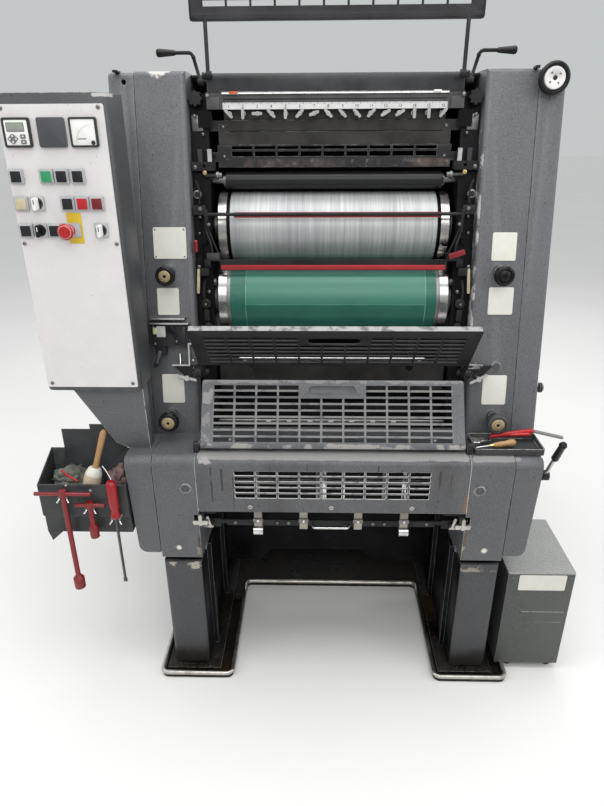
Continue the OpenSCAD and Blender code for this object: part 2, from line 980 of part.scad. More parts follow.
module towers() {
  color("gray") placed() {
    pair() {
      difference() {
        side_slab(tower_in, tower_seam) tower_profile(box_top, tower_top, 0);
        edge_cut(tower_in, tower_round);
        y_rod(0, tower_y(knob_up_z) + 34, knob_up_x, knob_up_z, stem_r + bore);
        y_rod(0, tower_y(knob_low_z) + 34, knob_low_x, knob_low_z, stem_r + bore);
      }
      bush(knob_up_x, knob_up_z);
      bush(knob_low_x, knob_low_z);
    }
    on_tower(tower_plug_x, tower_plug_z) rotate([90, 0, 0]) rotate_extrude()
      polygon([[0, -3], [tower_plug_r, -3], [tower_plug_r, 1], [tower_plug_r - 2, 2.5], [0, 2.5]]);
  }
}

module tower_covers() {
  color("gray") placed() {
    pair() difference() {
      intersection() {
        side_slab(tower_seam + seam, tower_out) tower_profile(box_top, tower_top - seam, 1);
        front_slab(0, tower_rear + 1) polygon(concat([[tower_seam + seam, box_top]],
          [[tower_out, box_top]],
          arc(tower_out - tower_round, tower_top - seam - tower_round, tower_round, 0, 90, 5),
          [[tower_seam + seam, tower_top - seam]]));
      }
      mirror([1, 0, 0]) edge_cut(-tower_out, tower_round);
      y_rod(0, tower_y(wheel_z) + 40, wheel_x, wheel_z, shaft_r + bore);
    }
    pair() block(tower_seam, tower_seam + seam, 500, 640, 900, 1200);
    translate([tower_out, tower_y(cover_knob_z) + 25, cover_knob_z]) rotate([0, 90, 0]) rotate_extrude()
      polygon([[0, -4], [5, -4], [5, 5], [cover_knob_r - 3, 5], [cover_knob_r, 8], [cover_knob_r, 14],
        [cover_knob_r - 3, 17], [0, 18]]);
  }
}

module delivery_hood() {
  in_round = box_round - hood_sheet;
  color("gray") placed() difference() {
    side_slab(-box_in, box_in) polygon(concat([[box_front, hood_low]],
      arc(box_front + box_round, box_top - box_round, box_round, 180, 90, 8),
      [[hood_rear, box_top], [hood_rear, box_top - hood_lip], [hood_rear - hood_sheet, box_top - hood_lip],
      [hood_rear - hood_sheet, box_top - hood_sheet]],
      arc(box_front + box_round, box_top - box_round, in_round, 90, 180, 8),
      [[box_front + hood_sheet, hood_low + hood_sheet], [box_front + hood_lip, hood_low + hood_sheet],
      [box_front + hood_lip, hood_low]]));
    front_slab(0, box_front + hood_sheet + 10)
      slots(hood_cols, hood_rows, slot_pitch_x, hood_slot_z, 0);
  }
}

module delivery_bar() {
  middle = bar_low + bar_h / 2;
  elbow = 2 * pull_r + 1;
  color("dimgray") placed() {
    difference() {
      block(-bar_half, bar_half, bar_front, bar_front + bar_t, bar_low, bar_low + bar_h);
      for (x = [-bar_half + 60, bar_half - 60]) y_rod(bar_front - 1, bar_front + bar_t + 1, x, middle, 3);
    }
    block(-box_in, box_in, bar_front + bar_t, bar_front + bar_t + 6, bar_low + 3, bar_low + bar_h - 3);
    pair() block(box_in - 46, box_in, bar_front + bar_t, bar_front + bar_t + 22, bar_low - 8,
      bar_low + bar_h);
    x_rod(-pull_half + elbow, pull_half - elbow, bar_front - pull_reach, middle, pull_r);
    pair() {
      translate([pull_half - elbow, bar_front - pull_reach + elbow, middle]) bend(elbow, pull_r, -90, 0);
      y_rod(bar_front - pull_reach + elbow, bar_front + 1, pull_half, middle, pull_r);
    }
    x_rod(-box_in, box_in, hood_rear - 2, tie_z, tie_r);
  }
}

module sheet_strips() {
  color("dimgray") placed() {
    for (x = [-strip_near, strip_near])
      block(x - strip_w / 2, x + strip_w / 2, bar_front - strip_t, bar_front, strip_low, strip_top);
    for (x = [-strip_far, strip_far]) {
      block(x - strip_w / 2, x + strip_w / 2, bar_front - strip_t, bar_front, strip_low, strip_top);
      x_rod(x - strip_w / 2 - 2, x + strip_w / 2 + 2, bar_front - strip_t / 2, strip_low - 4,
        strip_roller_r);
    }
  }
}

module arch_outline() {
  polygon([[-box_in, panel_low], [arch_x - arch_foot, panel_low], [arch_x - arch_top, panel_low + arch_rise],
    [arch_x + arch_top, panel_low + arch_rise], [arch_x + arch_foot, panel_low], [box_in, panel_low],
    [box_in, box_top], [frame_in, box_top], [frame_in, deck_z], [-frame_in, deck_z], [-frame_in, box_top],
    [-box_in, box_top]]);
}

module inner_deck() {
  wide = frame_in - 8;
  color("black") placed() {
    front_slab(panel_y, panel_y + 8) arch_outline();
    block(-frame_in, frame_in, deck_front, panel_y + 8, deck_z - 6, deck_z);
    difference() {
      block(-wide, wide, deck_front, deck_front + 4, deck_z - 6, deck_plate_top);
      for (x = [-notch_x, notch_x]) y_rod(deck_front - 1, deck_front + 5, x, deck_plate_top - 6, notch_r);
    }
    pair() {
      block(deck_post, deck_post + 6, deck_front, deck_front + 12, deck_plate_top - 20,
        deck_plate_top + deck_rod_up + deck_rod_r);
      block(wide - 6, wide, deck_front, deck_front + 60, deck_z - 1, deck_plate_top);
    }
    x_rod(-deck_post - 6, deck_post + 6, deck_front + 6, deck_plate_top + deck_rod_up, deck_rod_r);
  }
}

module star_knob(x) {
  facing_front(x, star_front + 20, star_z) {
    difference() {
      cylinder(r = star_r, h = 20);
      for (i = [0:7]) rotate([0, 0, 45 * i + 22.5]) translate([star_r + 1, 0, -1]) cylinder(r = 4.5, h = 22);
    }
    translate([0, 0, -24]) cylinder(r = 6, h = 25);
  }
}

module adjuster(x0, x1) {
  screw_z = adjuster_z - adjuster_h - 1;
  difference() {
    block(x0, x1, adjuster_front, frame_y(adjuster_z) + 10, adjuster_z - adjuster_h / 2,
      adjuster_z + adjuster_h / 2);
    y_rod(adjuster_front - 1, adjuster_front + 12, x0 + 24, adjuster_z + 1, 4);
  }
  for (x = [x0 + 5, x0 + 28])
    block(x, x + tab_w, adjuster_front + 4, adjuster_front + 16, adjuster_z, adjuster_z + tab_h);
  x_rod(frame_in - 29, frame_in + 10, adjuster_front + 13, screw_z, adjuster_r);
  x_rod(frame_in - 22, frame_in - 16, adjuster_front + 13, screw_z, adjuster_r + 3);
}

module frame_profile() {
  polygon([[frame_y(box_top), box_top], [frame_y(frame_top), frame_top], [frame_rear - 80, frame_top],
    [frame_rear, frame_top - 200], [frame_rear, box_top]]);
}

module inner_frames() {
  bolt_z = nip_rod_z + 22;
  pivot_z = nip_rod_z - 66;
  color("black") placed() pair() {
    difference() {
      union() {
        side_slab(frame_in, tower_in) frame_profile();
        x_rod(frame_in - bearing_t, frame_in + 1, plate_y, plate_z, bearing_r);
        x_rod(frame_in - bearing_t, frame_in + 1, blanket_y, blanket_z, bearing_r);
        x_rod(frame_in - bearing_t, frame_in + 1, blanket_y - 32, blanket_z + 48, 10);
      }
      x_rod(frame_in - bearing_t - 1, frame_in + journal_hold + 3, plate_y, plate_z, journal_r + bore);
      x_rod(frame_in - bearing_t - 1, frame_in + journal_hold + 3, blanket_y, blanket_z, journal_r + bore);
      x_rod(frame_in - 1, frame_in + 20, roller_y, roller_z, spindle_r + bore);
    }
    star_knob(tower_in - star_r - 1);
    adjuster(frame_in - 13, tower_in);
    block(frame_in - 9, tower_in - 21, ink_front + 7, key_bed - 5, apron_z + 8, apron_z + 44);
    y_rod(frame_y(bolt_z) - 30, frame_y(bolt_z) + 6, tower_in - 20, bolt_z, 5);
    y_rod(frame_y(pivot_z) - 16, frame_y(pivot_z) + 6, tower_in - 26, pivot_z, 6);
  }
}

module cylinder_body(y, z, groove, gap_deg) {
  translate([0, y, z]) rotate([gap_deg, 0, 0]) {
    difference() {
      rotate([0, 90, 0]) rotate_extrude($fn = 96) polygon([[0, -frame_in - journal_hold],
        [journal_r, -frame_in - journal_hold], [journal_r, -bearer_out], [cyl_r - 2, -bearer_out],
        [cyl_r, -bearer_out + 2], [cyl_r, -bearer_in], [cyl_r - groove, -bearer_in],
        [cyl_r - groove, -cyl_half], [cyl_r, -cyl_half], [cyl_r, cyl_half], [cyl_r - groove, cyl_half],
        [cyl_r - groove, bearer_in], [cyl_r, bearer_in], [cyl_r, bearer_out - 2],
        [cyl_r - 2, bearer_out], [journal_r, bearer_out], [journal_r, frame_in + journal_hold],
        [0, frame_in + journal_hold]]);
      translate([-cyl_half - 1, -clamp_gap / 2, cyl_r - clamp_depth])
        cube([2 * cyl_half + 2, clamp_gap, clamp_depth + 5]);
    }
    for (s = [-1, 1]) {
      translate([-cyl_half + 8, s * (clamp_gap / 4 + 1) - clamp_gap / 8, cyl_r - clamp_depth - 1])
        cube([2 * cyl_half - 16, clamp_gap / 4, clamp_bar_h + 1]);
    }
    for (i = [0:clamp_screws - 1]) {
      translate([(i - (clamp_screws - 1) / 2) * 2 * cyl_half / (clamp_screws + 0.5), 0,
        cyl_r - clamp_depth - 1]) cylinder(r = 3, h = clamp_bar_h - 2);
    }
  }
}

module plate_cylinder() {
  color("silver") placed() cylinder_body(plate_y, plate_z, plate_groove, -70);
}

module blanket_cylinder() {
  color("seagreen") placed() cylinder_body(blanket_y, blanket_z, blanket_groove, -110);
}

module form_roller() {
  color("black") placed() translate([0, roller_y, roller_z]) rotate([0, 90, 0]) rotate_extrude($fn = 48)
    polygon([[0, -frame_in - 16], [spindle_r, -frame_in - 16], [spindle_r, -roller_half - 6],
      [roller_r - 6, -roller_half - 6], [roller_r - 6, -roller_half], [roller_r, -roller_half],
      [roller_r, roller_half], [roller_r - 6, roller_half], [roller_r - 6, roller_half + 6],
      [spindle_r, roller_half + 6], [spindle_r, frame_in + 16], [0, frame_in + 16]]);
}

function cover_path(i) = concat([[ink_front + i, ink_cover_low]],
  arc(ink_front + ink_round, ink_cover_top - ink_round, ink_round - i, 180, 90, 6),
  [[tower_top_rear - i, ink_cover_top - i], [rear_face - i, tower_slope_z],
  [rear_face - i, rear_cover_low]]);

module ink_cover() {
  outside = cover_path(0);
  inside = cover_path(ink_sheet);
  last = len(inside) - 1;
  wide = tower_in - 1;
  color("black") placed() difference() {
    union() {
      intersection() {
        side_slab(-wide, wide) polygon(concat(outside, [for (i = [last:-1:0]) inside[i]]));
        linear_extrude(tower_top) polygon([[-ink_half, 0], [ink_half, 0], [ink_half, cheek_rear],
          [wide, cheek_rear], [wide, tower_rear], [-wide, tower_rear], [-wide, cheek_rear],
          [-ink_half, cheek_rear]]);
      }
      pair() side_slab(ink_half - cheek_t, ink_half) polygon(concat([[ink_front, ink_cover_low]],
        arc(ink_front + ink_round, ink_cover_top - ink_round, ink_round, 180, 90, 6),
        [[cheek_rear, ink_cover_top], [cheek_rear, ink_cover_low]]));
    }
    pair() x_rod(ink_half - cheek_t - 1, ink_half + 1, lever_y, lever_z, pin_r + bore);
  }
}

module ink_fountain() {
  color("dimgray") placed() {
    side_slab(-fountain_half, fountain_half) polygon([[ink_front, ink_cover_low],
      [ink_front, ink_cover_low - 6], [ink_front + 4, ink_cover_low - 6], [ink_front + 4, scale_top + 1],
      [scale_face, scale_top + 1], [scale_face, fountain_low], [key_bed, fountain_low],
      [key_bed, apron_z + apron_h], [cheek_rear + 20, apron_z + apron_h], [cheek_rear + 20, ink_cover_low]]);
    pair() block(fountain_half - 1, frame_in, ink_front + 4, ink_front + 42, fountain_low, ink_cover_low);
    block(-frame_in, frame_in, key_bed - 4, key_bed, apron_z, apron_z + apron_h + 3);
    block(-fountain_half, fountain_half, key_bed - 8, key_bed - 4, grate_top, apron_z - 1);
    pair() block(fountain_half - 4, fountain_half + 14, key_bed - 8, key_bed - 4, grate_top,
      apron_z + apron_h - 6);
  }
}

module ink_scale() {
  color("lightgray") placed()
    block(1 - fountain_half, fountain_half - 1, scale_face - 1.5, scale_face, fountain_low, scale_top);
}

module ink_key(x, turn) {
  y_rod(key_front + 3, key_bed, x, key_z, key_r);
  y_rod(key_bed - 12, key_bed, x, key_z, key_r + 2);
  facing_front(x, key_front + 4, key_z) rotate([0, 0, turn]) linear_extrude(4) {
    for (s = [-key_wing, key_wing]) translate([s, 0]) circle(key_r);
    square([2 * key_wing, 2 * key_r], center = true);
  }
}

module ink_keys() {
  color("lightgray") placed() for (i = [0:key_count - 1]) {
    ink_key((i - (key_count - 1) / 2) * key_pitch + key_shift, key_turns[i % len(key_turns)]);
  }
}

module roller_guard() {
  low = grate_top - grate_h;
  color("dimgray") placed() {
    difference() {
      side_slab(-grate_half, grate_half) polygon([[grate_front, low], [grate_front + flange, low],
        [grate_front + flange, low + guard_sheet], [grate_front + guard_sheet, low + guard_sheet],
        [grate_front + guard_sheet, grate_top - guard_sheet],
        [grate_front + flange, grate_top - guard_sheet], [grate_front + flange, grate_top],
        [grate_front, grate_top]]);
      front_slab(grate_front - 1, grate_front + guard_sheet + 1)
        slots(grate_cols, 2, grate_pitch, low + grate_h / 2 - 3, 0);
    }
    pair() block(grate_half - 6, frame_in, grate_front, grate_front + flange, low + 14, low + 34);
  }
}

module nip_guards() {
  link_in = frame_in + 6;
  link_low = nip_rod_z - 43;
  arm_low = nip_low + 23;
  run = link_in - nip_half - 6;
  fall = link_low - arm_low - 6;
  color("dimgray") placed() {
    x_rod(-link_in, link_in, nip_rod_y, nip_rod_z, nip_rod_r);
    block(-nip_half - 1, nip_half + 1, nip_front, nip_front + 6, nip_low, nip_low + nip_h);
    pair() {
      side_slab(link_in - 1, link_in + 6) polygon([[nip_rod_y - 6, nip_rod_z + 9],
        [nip_rod_y - 6, nip_rod_z - 9], [frame_y(link_low) - 16, link_low],
        [frame_y(link_low) - seat_gap, link_low], [frame_y(nip_rod_z + 9) - seat_gap, nip_rod_z + 9]]);
      block(nip_half, link_in + 5, nip_front, frame_y(arm_low) - seat_gap, arm_low, arm_low + 17);
      translate([link_in, nip_rod_y + 8, link_low + 4]) rotate([0, 180 + atan2(run, fall), 0])
        cylinder(r = 2.5, h = norm([run, fall]));
    }
  }
}

module guard_outline(s0, s1, i) {
  polygon(rounded(oblong(-guard_half + i, guard_half - i, s0 + i, s1 - i), guard_corner, 4));
}

module guard_rim(s0, s1) {
  linear_extrude(flange) difference() {
    guard_outline(s0, s1, 0);
    guard_outline(s0, s1, guard_sheet);
  }
}

module guard_panel(s0, s1, rows, slot_s) {
  linear_extrude(guard_sheet) difference() {
    guard_outline(s0, s1, 0);
    slots(guard_cols, rows, slot_pitch_x, slot_s, 2);
    translate([0, slot_s + (rows - 1) * slot_pitch_z]) children();
  }
}

module top_guard() {
  color("black") placed() translate([0, top_hinge_y, top_hinge_z]) {
    translate([0, flange, 0]) rotate([90, 0, 0]) {
      guard_panel(top_start, top_end, top_rows, top_start + 26) handle_shape(handle_r);
      guard_rim(top_start, top_end);
    }
    block(-guard_half + 1, guard_half - 1, 0, flange, top_start + 1, top_start + 12);
    pair() {
      translate([top_rod_x, 0, 6]) cylinder(r = top_rod_r, h = top_start - 2);
      difference() {
        x_rod(top_rod_x - 8, top_rod_x + 5, 0, 0, eye_r);
        x_rod(top_rod_x - 9, top_rod_x + 6, 0, 0, pin_r + bore);
      }
    }
  }
}

module upper_guard() {
  arm = guard_half - 5;
  color("black") placed() translate([0, up_hinge_y, up_hinge_z]) rotate([up_lean, 0, 0]) {
    translate([0, guard_sheet - up_offset, 0]) rotate([90, 0, 0]) {
      guard_panel(up_start, up_end, up_rows, up_start + 12) handle_shape(handle_r);
      translate([0, 0, guard_sheet - flange]) guard_rim(up_start, up_end);
    }
    pair() difference() {
      union() {
        side_slab(arm, guard_half) polygon([[-up_offset, up_start + 20], [-up_offset, 12],
          [-eye_r, -eye_r + 2], [2, -eye_r], [eye_r - 1, 2], [6, 20], [flange - up_offset, 40],
          [flange - up_offset, up_start + 20]]);
        x_rod(guard_half - 12, guard_half, 0, 0, eye_r);
      }
      x_rod(guard_half - 13, guard_half + 1, 0, 0, pin_r + bore);
    }
  }
}

module handle_dish() {
  difference() {
    linear_extrude(handle_deep) handle_shape(handle_r + 3);
    translate([0, 0, 2]) linear_extrude(handle_deep) handle_shape(handle_r);
  }
}

module lower_guard() {
  color("gray") placed() translate([0, low_hinge_y, low_hinge_z]) rotate([-low_lean, 0, 0]) {
    difference() {
      union() {
        rotate([90, 0, 0]) {
          guard_panel(-eye_r, low_len, low_rows, 4) handle_shape(handle_r);
          translate([0, 0, guard_sheet - flange]) guard_rim(-eye_r, low_len);
          translate([0, 4 + (low_rows - 1) * slot_pitch_z, guard_sheet - handle_deep - 2])
            handle_dish();
        }
        pair() x_rod(guard_half - 12, guard_half, 0, 0, eye_r - 1);
      }
      pair() x_rod(guard_half - 13, guard_half + 1, 0, 0, pin_r + bore);
    }
  }
}

module ear(x0, x1, y, z, r) {
  side_slab(x0, x1) {
    translate([y, z]) circle(r);
    children();
  }
}

module guard_hinges() {
  inner = guard_half + moving_gap;
  color("black") placed() pair() {
    ear(inner, inner + 13, low_hinge_y, low_hinge_z, eye_r)
      translate([low_hinge_y - eye_r, box_top]) square([2 * eye_r, low_hinge_h]);
    ear(inner, tower_in, up_hinge_y, up_hinge_z, eye_r + 3)
      translate([up_hinge_y, up_hinge_z - eye_r - 3]) square([40, 2 * eye_r + 6]);
    ear(ink_half, ink_half + 6, top_hinge_y, top_hinge_z, 7)
      translate([top_hinge_y, top_hinge_z - 7]) square([ink_front + 8 - top_hinge_y, 14]);
    x_rod(guard_half - 13, inner + 1, low_hinge_y, low_hinge_z, pin_r);
    x_rod(guard_half - 13, inner + 1, up_hinge_y, up_hinge_z, pin_r);
    x_rod(top_rod_x - 10, ink_half + 1, top_hinge_y, top_hinge_z, pin_r);
  }
}

module top_lever() {
  hub = ink_half + 16;
  run = (grip_z - lever_bend * (1 - sin(lever_lean)) - lever_z) / cos(lever_lean);
  elbow = hub + run * sin(lever_lean) + lever_bend * cos(lever_lean);
  placed() {
    x_rod(ink_half - cheek_t + 2, hub - 8, lever_y, lever_z, pin_r);
    x_rod(hub - 9, hub + 6, lever_y, lever_z, 8);
    translate([hub, lever_y, lever_z]) rotate([0, lever_lean, 0]) cylinder(r = lever_rod, h = run);
    translate([hub + run * sin(lever_lean), lever_y, lever_z + run * cos(lever_lean)])
      sphere(lever_rod + 1);
    facing_front(elbow, lever_y, grip_z - lever_bend) bend(lever_bend, lever_rod, 90, 180 - lever_lean);
    x_rod(elbow, grip_in + 2, lever_y, grip_z, lever_rod);
    translate([grip_in, lever_y, grip_z]) rotate([0, 90, 0]) rotate_extrude() polygon([[0, 0],
      [grip_r - 4, 0], [grip_r - 3, 4], [grip_r, grip_len - 6], [grip_r - 1, grip_len - 2],
      [grip_r - 4, grip_len], [0, grip_len]]);
  }
}

module lever_left() {
  color("black") mirror([1, 0, 0]) top_lever();
}

module lever_right() {
  color("black") top_lever();
}

module handwheel() {
  color("black") placed() {
    facing_front(wheel_x, wheel_y + wheel_t, wheel_z) rotate_extrude($fn = 48) polygon([[0, 0],
      [wheel_r - 4, 0], [wheel_r, 4], [wheel_r, wheel_t - 4], [wheel_r - 4, wheel_t - 0.5],
      [wheel_face + 4, wheel_t - 0.5], [wheel_face + 1, wheel_t - 4], [wheel_face, wheel_t - 4],
      [wheel_face, wheel_t - 1], [wheel_face - 1, wheel_t], [5, wheel_t], [5, wheel_t - 2],
      [0, wheel_t - 2]]);
    y_rod(wheel_y + wheel_t - 1, tower_y(wheel_z) + 36, wheel_x, wheel_z, shaft_r);
  }
}

module knob(x, z, r) {
  placed() {
    facing_front(x, tower_y(z) - knob_out + knob_t / 2, z) rotate_extrude() polygon([[0, 0],
      [r - 4, 0], [r, 3], [r, knob_t - 4], [r - 3, knob_t - 1], [r - 6, knob_t], [r - 7, knob_t - 2],
      [r - 9.5, knob_t - 2], [r - 9.5, knob_t - 0.5], [4, knob_t - 0.5], [3, knob_t - 4],
      [0, knob_t - 4]]);
    y_rod(tower_y(z) - knob_out + knob_t / 2 - 1, tower_y(z) + 30, x, z, stem_r);
  }
}

module knob_upper_left() {
  color("goldenrod") knob(-knob_up_x, knob_up_z, knob_up_r);
}

module knob_upper_right() {
  color("goldenrod") knob(knob_up_x, knob_up_z, knob_up_r);
}

module knob_lower_left() {
  color("goldenrod") knob(-knob_low_x, knob_low_z, knob_low_r);
}

module knob_lower_right() {
  color("goldenrod") knob(knob_low_x, knob_low_z, knob_low_r);
}

module side_lever() {
  color("black") placed() {
    x_rod(cover_out - 26, side_x + 8, side_y, side_z, shaft_r);
    x_rod(side_x - 8, side_x + 8, side_y, side_z, 13);
    translate([side_x, side_y, side_z]) rotate([side_lean, 0, 0]) {
      cylinder(r = 5, h = side_rod + 1);
      translate([0, 0, side_rod]) rotate_extrude() polygon([[0, 0], [6, 0], [9, 6], [8, side_grip - 12],
        [9.5, side_grip - 6], [7, side_grip], [0, side_grip]]);
    }
  }
}

module wing_screw(turn) {
  rotate([0, 0, turn]) {
    cylinder(r = wing_r, h = bracket_t + 14);
    translate([0, 0, bracket_t + 4]) linear_extrude(6) {
      for (s = [-1, 1]) translate([s * (wing_half - 3), 0]) circle(3.5);
      square([2 * wing_half - 6, 7], center = true);
    }
  }
}

module guard_bracket(turn) {
  on_tower(tower_in + 22, up_hinge_z) rotate([90, 0, 0]) {
    difference() {
      linear_extrude(bracket_t) {
        polygon([[-20, 14], [36, 14], [6, -16], [-14, -16]]);
        translate([-11, -5]) circle(10.5);
      }
      translate([-11, -5, -1]) cylinder(r = 4, h = bracket_t + 2);
    }
    translate([0, -18, 0]) wing_screw(turn);
  }
}

module safety_switch() {
  w = switch_w / 2;
  h = switch_h / 2;
  turret_x = -w + 8 + turret_w / 2;
  color("black") placed() {
    on_tower(switch_x, switch_z) {
      block(-w, w, -switch_t, 0, -h, h);
      block(turret_x - turret_w / 2, turret_x + turret_w / 2, -switch_t + 4, 0, -h - turret_h, -h + 1);
      block(-w - 4, w - 4, -switch_t - 2, 0, h + 11, h + 11 + strap_t);
      block(-w, w + 6, -switch_t - 8, 0, h, h + strap_t);
      translate([w / 2, -switch_t, h]) rotate([90, 0, 0]) linear_extrude(strap_t) difference() {
        polygon([[-20, 1], [17, 1], [11, -18], [-10, -18]]);
        polygon([[-13, 2], [11, 2], [7, -13], [-7, -13]]);
      }
      translate([turret_x, -switch_t + 4, -h - turret_h + 8]) rotate([0, 180 + 20, 0]) {
        block(-4, 4, -6, 1, -4, switch_lever);
        y_rod(-9, 0, 0, switch_lever, 6);
      }
    }
    on_tower(-tower_in - upright_in, up_hinge_z + 14) {
      block(-strap_t / 2, strap_t / 2, -switch_t, 0, 0, upright_h);
      block(0, upright_in + 10, -switch_t, 0, upright_h - strap_t, upright_h);
      block(-44, strap_t / 2, -switch_t, 0, 0, strap_t);
      translate([-26, -10, 0]) cylinder(r = 3, h = upright_h / 2);
    }
    mirror([1, 0, 0]) guard_bracket(14);
    guard_bracket(27);
  }
}

module blank_plate(w, h) {
  linear_extrude(plate_t) soft_square(w, h, plate_round);
}

module blank_plates() {
  color("wheat") placed() {
    for (p = plates) on_tower(p[0], p[1]) rotate([90, 0, 0]) blank_plate(p[2], p[3]);
    facing_front((pump_in + pump_out) / 2 + 4, pump_front, pump_top - pump_lid - 28)
      blank_plate(124, 50);
  }
}

module control_cabinet() {
  color("dimgray") placed() translate([0, 0, cab_low]) linear_extrude(cab_top - cab_low)
    soft_oblong(-cab_out, -cab_in, cab_front, cab_rear, cab_round);
}

module cabinet_support() {
  color("dimgray") placed() {
    front_slab(cab_front + 21, cab_front + 61) polygon([[-cab_out + 49, cab_low], [-cab_in - 4, cab_low],
      [-cab_in - 2, box_top - seam], [-cover_out + 2, box_top - seam],
      [-cover_out - 29, box_top + 13]]);
    block(-tower_out, -cab_in - 20, cab_rear, tower_y(cab_low + 90) - seat_gap, cab_low + 90,
      cab_low + 150);
  }
}

module control_panel() {
  color("white") placed() front_slab(panel_face, cab_front)
    soft_oblong(panel_out, panel_in, cab_low + panel_low_edge, panel_top, plate_round);
}

module on_panel(across, down) {
  facing_front(panel_out + across, panel_face, panel_top - down) children();
}

module instruments() {
  color("black") placed() for (i = [0:2]) on_panel(instruments_in[i], instruments_down) difference() {
    linear_extrude(instrument_h) soft_square(instrument_w, instrument_w, plate_round);
    if (i != 1) {
      translate([0, 0, instrument_h - 2]) linear_extrude(3)
        soft_square(instrument_w - 8, instrument_w - 8, 2);
    }
  }
}

module push_button() {
  linear_extrude(bezel_h) soft_square(button_w, button_w, 2);
  linear_extrude(bezel_h + cap_h) soft_square(cap_w, cap_w, 2);
}

module push_buttons() {
  color("darkred") placed() {
    for (x = row_1) on_panel(x, rows_down[0]) push_button();
    for (x = row_2) on_panel(x, rows_down[1]) push_button();
    for (x = row_3) on_panel(x, rows_down[2]) push_button();
    on_panel(stop_in, rows_down[2]) rotate_extrude() polygon([[0, 0], [stop_r - 3, 0], [stop_r - 3, 4],
      [stop_r - 8, 6], [stop_r - 8, stop_reach - 14], [stop_r - 1, stop_reach - 10],
      [stop_r, stop_reach - 6], [stop_r - 4, stop_reach - 1], [0, stop_reach]]);
  }
}

module selector(i) {
  placed() on_panel(selectors[i][1], rows_down[selectors[i][0]]) {
    translate([0, 0, seat_gap]) rotate_extrude() polygon([[0, 0], [selector_r, 0], [selector_r, 4],
      [selector_r - 2, 6], [0, 6]]);
    translate([0, 0, 5]) linear_extrude(selector_reach - 5) {
      square([8, 2 * selector_r - 8], center = true);
      for (s = [-1, 1]) translate([0, s * (selector_r - 4)]) circle(4);
    }
  }
}

module selector_1() {
  color("white") selector(0);
}

module selector_2() {
  color("black") selector(1);
}

module selector_3() {
  color("white") selector(2);
}

module pump_cabinet() {
  over = pump_over;
  color("gray") placed() {
    block(pump_in, pump_out, pump_front, pump_rear, pump_low, pump_top - pump_lid + 1);
    translate([0, 0, pump_top - pump_lid]) linear_extrude(pump_lid)
      soft_oblong(pump_in - over, pump_out + over, pump_front - over, pump_rear + over, 6);
    for (x = [pump_in + pump_foot_in, pump_out - pump_foot_out]) {
      for (y = [pump_front + 26, pump_rear - 26]) {
        translate([x, y, 0]) cylinder(r = pump_foot_r, h = pump_low + 1);
      }
    }
  }
}

module tool_box() {
  t = tool_sheet;
  ledge = tbox_ledge - tbox_step;
  color("dimgray") placed() {
    difference() {
      side_slab(-tbox_out, -cover_out) polygon([[tbox_front, tbox_rim], [tbox_front, tbox_ledge],
        [tbox_front + tbox_step, ledge], [tbox_front + tbox_step, tbox_low], [tbox_rear, tbox_low],
        [tbox_rear, tbox_side]]);
      side_slab(-tbox_out + t, -cover_out - t) polygon([[tbox_front + t, tbox_top],
        [tbox_front + t, tbox_ledge], [tbox_front + tbox_step + t, ledge],
        [tbox_front + tbox_step + t, tbox_low + t], [tbox_rear - t, tbox_low + t],
        [tbox_rear - t, tbox_top]]);
    }
    front_slab(tbox_rear - t, tbox_rear) polygon([[-tbox_out + 36, tbox_low + 10],
      [-cover_out - 20, tbox_low + 10], [-cover_out - 20, tbox_top], [-tbox_out + 110, tbox_top],
      [-tbox_out + 110, tbox_top - 14], [-tbox_out + 36, tbox_top - 14]]);
    front_slab(tbox_front + tbox_step, tbox_front + tbox_step + t) polygon([[-tbox_out, tbox_low + 1],
      [-tbox_out + 8, tbox_low - tbox_foot], [-tbox_out + 40, tbox_low + 1]]);
    front_slab(60, tbox_rear) polygon([[-cover_out - 1, tbox_low + 10], [-cover_x(tbox_low + 10) - seat_gap,
      tbox_low + 10], [-cover_x(600) - seat_gap, 600], [-cover_out - 1, 600]]);
    for (k = t_keys) hook(k[0], k[1] - key_bar_r, key_shaft_r);
    hook(driver_x, driver_z, key_shaft_r);
  }
}

module hook(x, z, r) {
  for (s = [-1, 1])
    y_rod(tbox_front - tool_hang - 5, tbox_front + 1, x + s * (r + hook_r + 1), z - hook_r, hook_r);
}

module t_key(z, low, half, socket_r) {
  x_rod(-half, half, 0, 0, key_bar_r);
  translate([0, 0, -key_bar_r]) cylinder(r = key_shaft_r + 2.5, h = 3 * key_bar_r);
  translate([0, 0, low - z]) cylinder(r = key_shaft_r, h = z - low);
  translate([0, 0, low - z]) rotate_extrude() polygon([[0, 0], [socket_r - 1, 0], [socket_r, 1],
    [socket_r, 30], [key_shaft_r, 40], [0, 40]]);
}

module tool_keys() {
  color("firebrick") placed() {
    for (k = t_keys) translate([k[0], tbox_front - tool_hang, k[1]])
      t_key(k[1], k[2], k[3], k[4]);
    translate([driver_x, tbox_front - tool_hang, driver_z]) {
      rotate_extrude() polygon([[0, 0], [driver_r - 2, 0], [driver_r, 5], [driver_r - 3, 20],
        [driver_r, 34], [driver_r, driver_grip - 8], [driver_r - 5, driver_grip], [0, driver_grip]]);
      translate([0, 0, -driver_blade]) cylinder(r = 3.5, h = driver_blade + 1);
      translate([-5, -1, -driver_blade - 8]) cube([10, 2, 12]);
    }
  }
}

module tool_tray() {
  out = cover_out + ttray_over;
  t = tool_sheet;
  color("gray") placed() translate([0, 0, box_top]) difference() {
    linear_extrude(ttray_h) soft_oblong(ttray_in, out, ttray_front, ttray_rear, 6);
    translate([0, 0, t]) linear_extrude(ttray_h)
      soft_oblong(ttray_in + t, out - t, ttray_front + t, ttray_rear - t, 4);
  }
}

